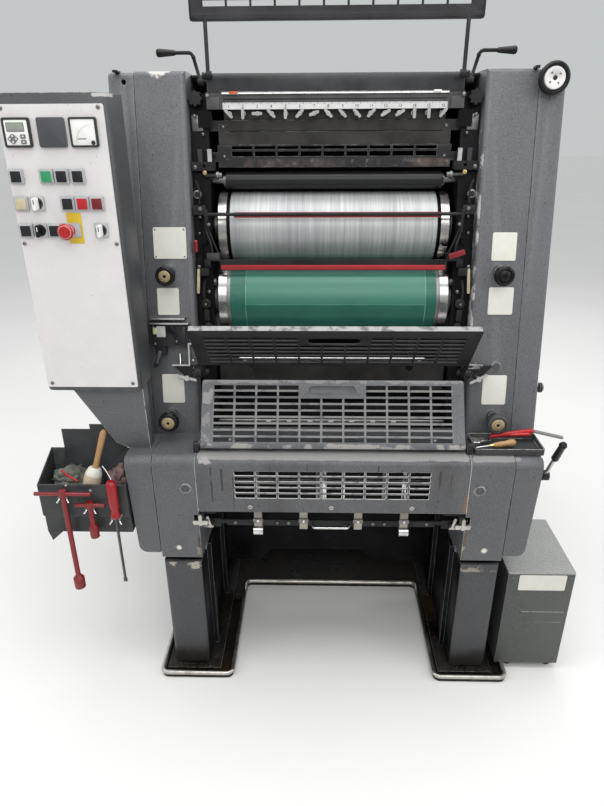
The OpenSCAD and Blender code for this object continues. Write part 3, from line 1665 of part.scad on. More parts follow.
module feeder_housings() {
  color("gray") placed() pair() side_slab(tower_in, base_out) polygon(concat([[tower_rear, box_top]],
    arc(tower_rear + 2 * feed_round, feed_top + 2 * feed_round, 2 * feed_round, 180, 270, 8),
    arc(base_rear - feed_round, feed_top - feed_round, feed_round, 90, 0, 6), [[base_rear, box_top]]));
}

module feed_board() {
  rear = base_rear + board_over;
  top = board_low + board_rise;
  slope = board_rise / (rear - board_front);
  rail_y = 1100;
  color("lightgray") placed() {
    difference() {
      side_slab(-sheet_half, sheet_half) polygon([[board_front, board_low - board_t],
        [board_front, board_low - 4], [board_front + 6, board_low], [rear, top],
        [rear, top - board_t]]);
      for (i = [0:board_tapes - 1]) {
        x = (i - (board_tapes - 1) / 2) * 2 * sheet_half / board_tapes;
        side_slab(x - tape_w / 2, x + tape_w / 2) polygon([[board_front - 1, board_low - 3 - slope],
          [board_front - 1, top + 9], [rear + 1, top + 9], [rear + 1, top - 3 + slope]]);
      }
    }
    block(-tower_in, tower_in, rail_y, rail_y + 30, board_low + slope * (rail_y - board_front) - 26,
      board_low + slope * (rail_y - board_front) - 5);
  }
}

module feeder_posts() {
  color("gray") placed() pair() difference() {
    block(tower_in, post_out, base_rear, post_rear, tray_sheet, post_top);
    block(tower_in + post_wall, post_out - post_wall, base_rear + post_wall, post_rear + 1,
      tray_sheet + post_wall, post_top - post_wall);
  }
}

module sucker() {
  translate([0, 0, -60]) rotate_extrude() polygon([[0, -4], [sucker_r, -4], [sucker_r - 4, 4],
    [sucker_r - 1, 8], [sucker_r - 4, 12], [sucker_r - 1, 16], [sucker_r - 5, 20], [7, 22], [7, 61],
    [0, 61]]);
}

module suction_head() {
  y = base_rear + head_in + head_t / 2;
  low = head_z - head_t / 2;
  color("dimgray") placed() {
    block(-tower_in, tower_in, y - head_t / 2, y + head_t / 2, low, low + head_t);
    for (i = [0:suckers - 1]) translate([(i - (suckers - 1) / 2) * sucker_pitch, y, low]) sucker();
  }
}

module pile_table() {
  front = post_rear + 10;
  board = (pile_rear - front - (pile_boards - 1) * pile_gap) / pile_boards;
  low = pile_top - pile_t - beam_h;
  color("dimgray") placed() {
    for (i = [0:pile_boards - 1]) {
      y = front + i * (board + pile_gap);
      block(-sheet_half, sheet_half, y, y + board, pile_top - pile_t, pile_top);
    }
    pair() block(sheet_half - 60, sheet_half - 20, post_rear - 60, pile_rear - 20, low, low + beam_h);
    block(-tower_in, tower_in, post_rear - 60, post_rear - 20, low, low + beam_h);
  }
}

drip_tray();
side_bases();
side_boxes();
box_covers();
towers();
tower_covers();
delivery_hood();
delivery_bar();
sheet_strips();
inner_deck();
inner_frames();
plate_cylinder();
blanket_cylinder();
form_roller();
ink_cover();
ink_fountain();
ink_scale();
ink_keys();
roller_guard();
nip_guards();
top_guard();
upper_guard();
lower_guard();
guard_hinges();
lever_left();
lever_right();
handwheel();
knob_upper_left();
knob_upper_right();
knob_lower_left();
knob_lower_right();
side_lever();
safety_switch();
blank_plates();
control_cabinet();
cabinet_support();
control_panel();
instruments();
push_buttons();
selector_1();
selector_2();
selector_3();
pump_cabinet();
tool_box();
tool_keys();
tool_tray();
feeder_housings();
feed_board();
feeder_posts();
suction_head();
pile_table();
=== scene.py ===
"""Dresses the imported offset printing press: finishes, small fittings, floor, light and camera."""

import json
import math
import random

import bmesh
import bpy
from mathutils import Matrix, Vector, noise


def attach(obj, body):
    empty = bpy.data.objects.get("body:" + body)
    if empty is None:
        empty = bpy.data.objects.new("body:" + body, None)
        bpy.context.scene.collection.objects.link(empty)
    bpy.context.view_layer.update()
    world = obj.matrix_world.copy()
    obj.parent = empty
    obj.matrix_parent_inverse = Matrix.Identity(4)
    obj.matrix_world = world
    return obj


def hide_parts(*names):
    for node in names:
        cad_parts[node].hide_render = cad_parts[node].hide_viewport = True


bl_info = {
    "name": "Offset Press Dressing",
    "version": (1, 0, 0),
    "blender": (4, 5, 0),
    "location": "View3D > Sidebar > Press",
    "description": "Adds finishes and small fittings to an offset printing press",
    "category": "Object",
}

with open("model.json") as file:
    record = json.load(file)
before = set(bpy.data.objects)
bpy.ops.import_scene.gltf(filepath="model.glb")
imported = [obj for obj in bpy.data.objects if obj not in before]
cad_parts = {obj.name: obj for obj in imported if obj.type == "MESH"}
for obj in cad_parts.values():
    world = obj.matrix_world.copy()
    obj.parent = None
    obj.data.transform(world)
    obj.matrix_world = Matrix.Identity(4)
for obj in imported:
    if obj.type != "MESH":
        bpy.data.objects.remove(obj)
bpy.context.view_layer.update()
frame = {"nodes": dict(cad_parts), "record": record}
BODY_OF = {node: body for body, nodes in frame["record"]["behaviour"]["bodies"].items() for node in nodes}

# places shared with the press, in millimetres from the tray's front rim, the centre plane and the floor
ORIGIN_Y = 850.0
TOWER_FRONT, TOWER_REF, TOWER_LEAN = 185.0, 750.0, 0.188
TOWER_TOP = 1533.0
BOX_FRONT = 38.5
BAR_FRONT = 88.0
PLATE_AXIS, BLANKET_AXIS = (393.0, 1178.0), (329.0, 1008.5)
CYLINDER_R = 88.0
SCALE_FACE = 346.0
KEY_COUNT, KEY_PITCH, KEY_SHIFT = 16, 33.4, 2.0
PANEL_FACE, PANEL_LEFT, PANEL_TOP = 68.0, -669.0, 1458.0
LOW_HINGE, LOW_LEAN = (75.0, 706.0), 31.5
UP_HINGE, UP_LEAN = (186.0, 852.0), 40.0
BOARD_FOOT, BOARD_RISE = (700.0, 868.0), 92.0 / 520.0
HANDWHEEL = (486, 298, 1511)
# edges of the sheet that has printed off on the blanket, in metres
SHEET_LEFT, SHEET_RIGHT, SHEET_EDGE = -0.2171, 0.2296, 1.0115

MM = 0.001
WELD = 1e-7


def at(x, y, z):
    """Turns millimetres measured from the tray's front rim into metres in the row frame."""
    return Vector((x / 1000, (y - ORIGIN_Y) / 1000, z / 1000))


def tower_y(z):
    return TOWER_FRONT + TOWER_LEAN * (z - TOWER_REF)


def linked(name, data):
    made = bpy.data.objects.new(name, data)
    bpy.context.scene.collection.objects.link(made)
    return made


def evaluated(holder):
    """The plain mesh of an object as its modifiers leave it."""
    return bpy.data.meshes.new_from_object(holder.evaluated_get(bpy.context.evaluated_depsgraph_get()))


# ---------------------------------------------------------------- local frames, in millimetres


def about(axis, degrees):
    return Matrix.Rotation(math.radians(degrees), 3, axis)


OUTWARD = about("X", 90)
LEAN = math.atan(TOWER_LEAN)


def placed(x, y, z, turn):
    return Matrix.Translation(at(x, y, z)) @ turn.to_4x4() @ Matrix.Scale(MM, 4)


def upright(x, y, z, spin=0.0):
    """Local Z points up."""
    return placed(x, y, z, about("Z", spin))


def facing(x, y, z, spin=0.0):
    """Local Z points out of the press's delivery end, local Y up."""
    return placed(x, y, z, OUTWARD @ about("Z", spin))


def on_tower(x, z, out=0.0):
    """Local Z points out of the towers' leaning front, local Y up along it."""
    return placed(x, tower_y(z), z, Matrix.Rotation(-LEAN, 3, "X") @ OUTWARD) @ Matrix.Translation((0, 0, out))


def on_guard(hinge, lean, x, along, out):
    """Local Z points out of a swing guard's front, local Y up along it, from its hinge."""
    return placed(0, *hinge, about("X", lean) @ OUTWARD) @ Matrix.Translation((x, along, out))


def on_panel(across, down, out=0.0):
    """Local Z points out of the control panel; across and down are measured from its outer top corner."""
    return facing(PANEL_LEFT + across, PANEL_FACE - out, PANEL_TOP - down)


def sideways(x, y, z):
    """Local Z points out to the right, local Y up."""
    return placed(x, y, z, about("Z", 90) @ OUTWARD)


def away(start, end):
    """Local Z points from one row-frame place towards another."""
    return Matrix.Translation(start) @ (end - start).to_track_quat("Z", "Y").to_matrix().to_4x4() @ Matrix.Scale(MM, 4)


# ---------------------------------------------------------------- solids


def round_rect(w, h, r, steps=4):
    """Points of a rounded rectangle about its middle, counter-clockwise."""
    r = max(0.01, min(r, w / 2 - 0.01, h / 2 - 0.01))
    x, y = w / 2 - r, h / 2 - r
    points = []
    for cx, cy, start in ((x, y, 0), (-x, y, 90), (-x, -y, 180), (x, -y, 270)):
        for k in range(steps + 1):
            a = math.radians(start + 90 * k / steps)
            points.append((cx + r * math.cos(a), cy + r * math.sin(a)))
    return points


class Piece:
    """One named piece: closed solids with their own finishes, gathered in one mesh in the row frame."""

    def __init__(self, name, first=None):
        self.name = name
        self.finishes = []
        self.mesh = bmesh.new()
        self.current = 0
        if first:
            self.use(first)

    def use(self, finish):
        if finish not in self.finishes:
            self.finishes.append(finish)
        self.current = self.finishes.index(finish)
        return self

    def face(self, corners):
        made = self.mesh.faces.new(corners)
        made.material_index = self.current
        made.smooth = True

    def stack(self, where, rings):
        """A solid through rings of (x, y, z) points, all of one length."""
        loops = [[self.mesh.verts.new(where @ Vector(p)) for p in ring] for ring in rings]
        count = len(rings[0])
        for low, high in zip(loops, loops[1:]):
            for i in range(count):
                j = (i + 1) % count
                self.face((low[i], low[j], high[j], high[i]))
        self.face(list(reversed(loops[0])))
        self.face(loops[-1])
        return self

    def prism(self, where, outline, z0, z1):
        return self.stack(where, [[(x, y, z) for x, y in outline] for z in (z0, z1)])

    def slab(self, where, w, h, r, thick, soft=0.8):
        """A rounded plate or block with softened rims."""
        soft = min(soft, thick / 2.2, w / 3, h / 3)
        most = 0.3 * soft
        rings = [(soft, 0), (most, most), (0, soft), (0, thick - soft), (most, thick - most), (soft, thick)]
        return self.stack(where, [[(x, y, z) for x, y in round_rect(w - 2 * inset, h - 2 * inset, r - inset)]
                                  for inset, z in rings])

    def turned(self, where, profile, steps=24):
        """A solid of revolution about local Z from (radius, height) pairs."""
        around = [math.tau * k / steps for k in range(steps)]
        return self.stack(where, [[(r * math.cos(a), r * math.sin(a), z) for a in around]
                                  for r, z in ((max(r, 0.001), z) for r, z in profile)])

    def rod(self, start, end, r, steps=12, soft=0.5):
        """A round bar between two row-frame points."""
        length = (end - start).length * 1000
        soft = min(soft, r / 2, length / 3)
        return self.turned(away(start, end), [(r - soft, 0), (r, soft), (r, length - soft), (r - soft, length)], steps)

    def words(self, where, text, size, z0, z1):
        """Plain numerals as solid letters."""
        curve = bpy.data.curves.new("numerals", "FONT")
        curve.body = text
        curve.size = size
        curve.align_x = curve.align_y = "CENTER"
        curve.resolution_u = 2
        curve.extrude = (z1 - z0) / 2
        holder = linked("numerals", curve)
        flat = evaluated(holder)
        part = bmesh.new()
        part.from_mesh(flat)
        part.transform(where @ Matrix.Translation((0, 0, (z0 + z1) / 2)))
        bmesh.ops.remove_doubles(part, verts=part.verts, dist=WELD)
        for item in part.faces:
            item.material_index = self.current
            item.smooth = False
        part.to_mesh(flat)
        part.free()
        self.mesh.from_mesh(flat)
        bpy.data.objects.remove(holder)
        bpy.data.curves.remove(curve)
        bpy.data.meshes.remove(flat)

    def done(self, body="press", slot="black_parts", sharp=38.0):
        bmesh.ops.remove_doubles(self.mesh, verts=self.mesh.verts, dist=WELD)
        bmesh.ops.dissolve_degenerate(self.mesh, dist=WELD, edges=self.mesh.edges)
        bmesh.ops.recalc_face_normals(self.mesh, faces=self.mesh.faces)
        mesh = bpy.data.meshes.new(self.name)
        self.mesh.to_mesh(mesh)
        self.mesh.free()
        mesh.set_sharp_from_angle(angle=math.radians(sharp))
        made = linked(self.name, mesh)
        for finish in self.finishes:
            mesh.materials.append(FINISHES[finish])
        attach(made, body)


def dress(node, finishes, rule=None, soft=1.2, segments=2, merged=True):
    """A softened copy of a CAD node, whose faces take their finish from a rule of middle and normal, in mm."""
    part = bmesh.new()
    part.from_mesh(frame["nodes"][node].data)
    bmesh.ops.remove_doubles(part, verts=part.verts, dist=1e-6)
    bmesh.ops.dissolve_degenerate(part, dist=1e-6, edges=part.edges)
    if merged:
        bmesh.ops.dissolve_limit(part, angle_limit=math.radians(0.6), verts=part.verts, edges=part.edges)
    for item in part.faces:
        item.smooth = True
        if rule is not None:
            middle = item.calc_center_median() * 1000
            middle.y += ORIGIN_Y
            item.material_index = finishes.index(rule(middle, item.normal))
    mesh = bpy.data.meshes.new(node + "_dressed")
    part.to_mesh(mesh)
    part.free()
    made = linked(node + "_dressed", mesh)
    for finish in finishes:
        mesh.materials.append(FINISHES[finish])
    if soft > 0:
        bevel = made.modifiers.new("soft_edges", "BEVEL")
        bevel.width = soft / 1000
        bevel.segments = segments
        bevel.limit_method = "ANGLE"
        bevel.angle_limit = math.radians(32.0)
        bevel.use_clamp_overlap = True
        bevel.miter_outer = "MITER_ARC"
        # the rounded edges take the last finish; for casings, guards and sheets that is an edge finish lighter than the
        # faces, a painted edge highlight
        bevel.material = len(finishes) - 1
        beveled = evaluated(made)
        made.modifiers.clear()
        made.data = beveled
        beveled.name = mesh.name
        bpy.data.meshes.remove(mesh)
    for item in made.data.polygons:
        item.use_smooth = True
    made.data.set_sharp_from_angle(angle=math.radians(28.0))
    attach(made, BODY_OF[node])
    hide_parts(node)


# ---------------------------------------------------------------- finishes


class Finish:
    """A procedural material under construction, with short names for the nodes it uses."""

    def __init__(self, name):
        self.material = bpy.data.materials.new(name)
        self.material.use_nodes = True
        self.tree = self.material.node_tree
        self.tree.nodes.clear()
        self.shader = self.tree.nodes.new("ShaderNodeBsdfPrincipled")
        output = self.tree.nodes.new("ShaderNodeOutputMaterial")
        self.tree.links.new(self.shader.outputs["BSDF"], output.inputs["Surface"])
        self.place = self.tree.nodes.new("ShaderNodeTexCoord").outputs["Object"]

    def node(self, kind, inputs, **options):
        made = self.tree.nodes.new(kind)
        for key, value in options.items():
            setattr(made, key, value)
        for key, value in inputs.items():
            self.put(made.inputs[key], value)
        return made

    def put(self, socket, value):
        if isinstance(value, bpy.types.NodeSocket):
            self.tree.links.new(value, socket)
        elif isinstance(value, tuple) and len(value) == 3 and socket.type == "RGBA":
            socket.default_value = (*value, 1.0)
        else:
            socket.default_value = value

    def stretched(self, *scale):
        return self.node("ShaderNodeMapping", {"Vector": self.place, "Scale": scale}).outputs["Vector"]

    def noise(self, scale, detail=3.0, rough=0.55, where=None):
        inputs = {"Vector": where or self.place, "Scale": scale, "Detail": detail, "Roughness": rough}
        return self.node("ShaderNodeTexNoise", inputs).outputs["Fac"]

    def cells(self, scale):
        return self.node("ShaderNodeTexVoronoi", {"Vector": self.place, "Scale": scale}).outputs["Distance"]

    def ramp(self, value, low, high, top=1.0, foot=0.0):
        """From the foot value at low to the top value at high."""
        made = self.node("ShaderNodeValToRGB", {"Fac": value})
        for element, place, shade in zip(made.color_ramp.elements, (low, high), (foot, top)):
            element.position = place
            element.color = (shade, shade, shade, 1.0)
        return made.outputs["Color"]

    def math(self, kind, a, b):
        return self.node("ShaderNodeMath", {0: a, 1: b}, operation=kind).outputs[0]

    def times(self, a, b):
        return self.math("MULTIPLY", a, b)

    def mix(self, factor, a, b):
        return self.node("ShaderNodeMix", {0: factor, 6: a, 7: b}, data_type="RGBA").outputs[2]

    def over(self, color, field, low, high, shade, share=1.0):
        """Lays a shade over the colour where the field rises from low to high."""
        return self.mix(self.ramp(field, low, high, share), color, shade)

    def axis(self, name):
        return self.node("ShaderNodeSeparateXYZ", {"Vector": self.place}).outputs[name]

    def climb(self, value, low, high, first=0.0, last=1.0):
        return self.node("ShaderNodeMapRange", {"Value": value, "From Min": low, "From Max": high,
                                                "To Min": first, "To Max": last}).outputs[0]

    def band(self, value, low, high, soft):
        """1 between low and high, in metres, falling to 0 over the soft margin."""
        return self.times(self.climb(value, low - soft, low + soft),
                          self.climb(value, high - soft, high + soft, 1.0, 0.0))

    def patch(self, low, high, edge=0.5):
        """1 inside a box of row-frame millimetres, with a ragged border; a lower edge value fills it more."""
        inside = None
        for name, a, b in zip("XYZ", at(*low), at(*high)):
            part = self.band(self.axis(name), a, b, min(0.006, (b - a) / 4))
            inside = part if inside is None else self.times(inside, part)
        return self.ramp(self.times(inside, self.noise(24.0, 6.0, 0.62)), edge - 0.03, edge + 0.03)

    def bump(self, height, strength, distance):
        made = self.node("ShaderNodeBump", {"Height": height, "Strength": strength, "Distance": distance})
        self.tree.links.new(made.outputs["Normal"], self.shader.inputs["Normal"])

    def set(self, **values):
        names = {"color": "Base Color", "rough": "Roughness", "metal": "Metallic", "coat": "Coat Weight",
                 "glow": "Emission Color", "glow_strength": "Emission Strength", "shine": "Specular IOR Level"}
        for key, value in values.items():
            self.put(self.shader.inputs[names[key]], value)
        return self.material


def tint(shade, factor, lift=0.0):
    return tuple(min(1.0, c * factor + lift) for c in shade)


def even(level):
    """The same level in all three channels."""
    return level, level, level


def hammered_paint(name, shade, chips=0.5, grease=0.3, patches=(), grimy_below=None):
    """Grey hammered machine paint with small chips, greasy runs, and lighter patches in given boxes: rubbed spots, and
    some bands that are painted highlights.
    """
    f = Finish(name)
    flecks = f.noise(330, 2.0, 0.5)
    color = f.over(tint(shade, 0.86), f.noise(4.0, 5.0, 0.6), 0.3, 0.7, tint(shade, 1.1))
    color = f.over(color, flecks, 0.45, 0.72, tint(shade, 1.75), 0.55)
    color = f.mix(f.ramp(flecks, 0.28, 0.42, 0.0, 0.5), color, tint(shade, 0.6))
    runs = f.noise(9.0, 6.0, 0.62, f.stretched(1.0, 1.0, 0.2))
    oily = f.ramp(runs, 0.62 - 0.14 * grease, 0.80, min(1.0, 0.7 * grease + 0.12))
    if grimy_below is not None:
        low = f.climb(f.axis("Z"), 0.02, grimy_below / 1000, 1.0, 0.0)
        splash = f.times(low, f.times(f.noise(16.0, 7.0, 0.66), 1.9))
        oily = f.math("MAXIMUM", oily, f.ramp(splash, 0.30, 0.75, 0.92))
    color = f.mix(oily, color, (0.024, 0.019, 0.015))
    color = f.over(color, f.noise(38.0, 9.0, 0.74), 0.735 - 0.06 * chips, 0.75 - 0.06 * chips, (0.36, 0.355, 0.35))
    color = f.mix(f.ramp(f.noise(120.0, 2.0, 0.5), 0.26, 0.275, 0.0, 1.0), color, (0.012, 0.010, 0.009))
    rough = f.mix(oily, even(0.46), even(0.26))
    # the patches are rubbed spots, and some are lighter bands that are painted highlights
    for low, high, worn, *edge in patches:
        wear_and_highlight_mask = f.patch(low, high, *edge)
        color = f.mix(wear_and_highlight_mask, color, worn)
        rough = f.mix(wear_and_highlight_mask, rough, even(0.6))
    f.bump(f.math("ADD", f.times(f.cells(430), 0.6), f.times(flecks, 0.6)), 0.4, 0.0006)
    return f.set(color=color, rough=rough)


def edge_sheen_and_wear(name, shade, worn, share=0.5):
    """A base shade with lighter spots where the paint has rubbed through; on bevelled edges the base shade is lighter
    than the faces, a painted edge highlight.
    """
    f = Finish(name)
    field = f.noise(46.0, 7.0, 0.66)
    f.bump(field, 0.2, 0.0004)
    return f.set(color=f.over(shade, field, 0.62 - 0.3 * share, 0.74 - 0.3 * share, worn), rough=0.5)


def oily_black(name, shade=(0.010, 0.010, 0.011), rubbed=0.3, brown=0.3, light=(0.22, 0.21, 0.20), shine=0.22):
    """Black machine paint with oil, brown dried ink and rubbed spots."""
    f = Finish(name)
    broad = f.noise(11.0, 6.0, 0.62)
    color = f.over(shade, broad, 0.35, 0.72, tint(shade, 2.2, 0.004))
    color = f.over(color, f.noise(17.0, 7.0, 0.66), 0.68 - 0.16 * brown, 0.82, (0.060, 0.043, 0.030), 0.8)
    color = f.over(color, f.noise(60.0, 9.0, 0.74), 0.755 - 0.08 * rubbed, 0.775 - 0.08 * rubbed, light)
    f.bump(f.noise(120.0, 4.0), 0.25, 0.0008)
    return f.set(color=color, rough=f.ramp(broad, 0.3, 0.8, 0.56, 0.30), shine=shine)


def smeared_sheet(name, low, high):
    """Black sheet with dried ink smeared between two heights in pinkish and rusty patches."""
    f = Finish(name)
    smear = f.noise(13.0, 6.0, 0.66, f.stretched(1.0, 1.0, 0.5))
    strip = f.band(f.axis("Z"), low / 1000, high / 1000, 0.003)
    color = f.mix(f.times(strip, f.ramp(smear, 0.42, 0.66, 0.9)), (0.018, 0.018, 0.019), (0.120, 0.088, 0.078))
    color = f.mix(f.times(strip, f.ramp(f.noise(30.0, 7.0, 0.7), 0.56, 0.64, 0.7)), color, (0.22, 0.19, 0.175))
    f.bump(smear, 0.25, 0.0006)
    return f.set(color=color, rough=0.42, shine=0.3)


def greasy_floor(name):
    """Tray floor under years of oil: black film, brown lumps and dry flakes."""
    f = Finish(name)
    film = f.noise(7.0, 6.0, 0.62)
    lumps = f.noise(48.0, 8.0, 0.7)
    color = f.over((0.003, 0.0026, 0.0023), film, 0.35, 0.65, (0.022, 0.018, 0.015))
    color = f.over(color, f.noise(4.5, 4.0), 0.52, 0.72, (0.050, 0.027, 0.009), 0.8)
    color = f.over(color, lumps, 0.62, 0.67, (0.10, 0.080, 0.062), 0.7)
    color = f.over(color, f.noise(90.0, 7.0, 0.7), 0.70, 0.72, (0.34, 0.32, 0.29))
    f.bump(lumps, 0.9, 0.003)
    return f.set(color=color, rough=f.ramp(film, 0.3, 0.7, 0.55, 0.16), shine=0.2)


def bare_metal(name, shade=(0.50, 0.49, 0.47), rough=0.34, dirt=0.4, rust=0.0, across=1.0):
    """Bare or plated steel with fine grain, dark dirt and rust in patches."""
    f = Finish(name)
    streak = f.noise(60.0, 4.0, 0.6, f.stretched(across, 1.0, 1.0))
    dirty = f.ramp(f.noise(14.0, 7.0, 0.65), 0.64 - 0.2 * dirt, 0.84, 0.85)
    color = f.mix(dirty, f.over(tint(shade, 0.72), streak, 0.3, 0.7, shade), (0.045, 0.036, 0.028))
    if rust > 0:
        spots = f.ramp(f.noise(26.0, 8.0, 0.72), 0.66 - 0.2 * rust, 0.74 - 0.1 * rust, 0.9)
        color = f.mix(spots, color, (0.20, 0.075, 0.035))
        dirty = f.math("MAXIMUM", dirty, spots)
    f.bump(streak, 0.12, 0.0004)
    return f.set(color=color, rough=f.mix(dirty, even(rough), even(0.6)), metal=f.mix(dirty, even(1.0), even(0.1)))


def plate_metal(name):
    """Printing plate: dull silver with faint columns of print and damp streaks along the press width."""
    f = Finish(name)
    along = f.noise(150.0, 5.0, 0.7, f.stretched(1.0, 0.02, 0.02))
    columns = f.noise(22.0, 5.0, 0.6, f.stretched(1.0, 0.05, 0.05))
    cloud = f.noise(6.0, 4.0, 0.6)
    color = f.over((0.30, 0.31, 0.31), along, 0.3, 0.7, (0.56, 0.565, 0.56))
    color = f.over(color, columns, 0.44, 0.62, (0.27, 0.28, 0.285), 0.5)
    color = f.over(color, cloud, 0.5, 0.75, (0.54, 0.55, 0.57), 0.35)
    f.bump(along, 0.08, 0.0003)
    return f.set(color=color, rough=f.ramp(cloud, 0.3, 0.8, 0.56, 0.46), metal=0.45)


def blanket_rubber(name):
    """Green rubber blanket with a pale line where the sheet's edge has printed off."""
    f = Finish(name)
    cloud = f.noise(5.0, 5.0, 0.6)
    fine = f.noise(140.0, 3.0, 0.6, f.stretched(0.3, 1.0, 1.0))
    color = f.over((0.004, 0.078, 0.052), cloud, 0.3, 0.75, (0.006, 0.118, 0.078))
    color = f.over(color, fine, 0.5, 0.8, (0.03, 0.17, 0.12), 0.3)
    x, z = f.axis("X"), f.axis("Z")
    sides = [f.band(x, edge, edge + 0.0012, 0.0006) for edge in (SHEET_RIGHT - 0.0012, SHEET_LEFT)]
    across = f.times(f.band(z, SHEET_EDGE, SHEET_EDGE + 0.0007, 0.0005), f.band(x, SHEET_LEFT, SHEET_RIGHT, 0.001))
    used = f.times(f.band(z, SHEET_EDGE, 1.2, 0.001),
                   f.band(x, SHEET_LEFT + 0.0006, SHEET_RIGHT - 0.0006, 0.001))
    color = f.mix(f.times(used, 0.5), color, (0.060, 0.215, 0.150))
    line = f.math("MAXIMUM", f.math("MAXIMUM", *sides), across)
    color = f.mix(f.times(line, f.ramp(f.noise(30.0, 4.0), 0.35, 0.6, 0.8, 0.25)), color, (0.24, 0.42, 0.34))
    color = f.over(color, f.noise(80.0, 6.0, 0.7), 0.75, 0.77, (0.35, 0.42, 0.38), 0.8)
    return f.set(color=color, rough=f.ramp(cloud, 0.3, 0.8, 0.5, 0.34))


def plastic(name, shade, rough=0.35, specks=0.15, mottle=0.78, shine=0.5):
    """Moulded plastic, card or enamel with faint mottling and handling dirt."""
    f = Finish(name)
    broad = f.noise(30.0, 5.0)
    color = f.over(shade, broad, 0.3, 0.8, tint(shade, mottle))
    color = f.over(color, f.noise(95.0, 8.0, 0.74), 0.745 - 0.15 * specks, 0.775 - 0.1 * specks,
                   (0.045, 0.038, 0.03), 0.85)
    f.bump(f.noise(300.0, 2.0), 0.1, 0.0003)
    return f.set(color=color, rough=f.ramp(broad, 0.3, 0.8, min(1.0, rough * 1.3), rough * 0.8), shine=shine)


def lamp(name, shade, glow):
    """Coloured lens of a lit push button."""
    f = Finish(name)
    color = f.over(shade, f.cells(900), 0.1, 0.6, tint(shade, 0.7))
    f.bump(f.cells(900), 0.2, 0.0003)
    return f.set(color=color, rough=0.22, coat=0.4, glow=shade, glow_strength=glow)


FINISHES = {}


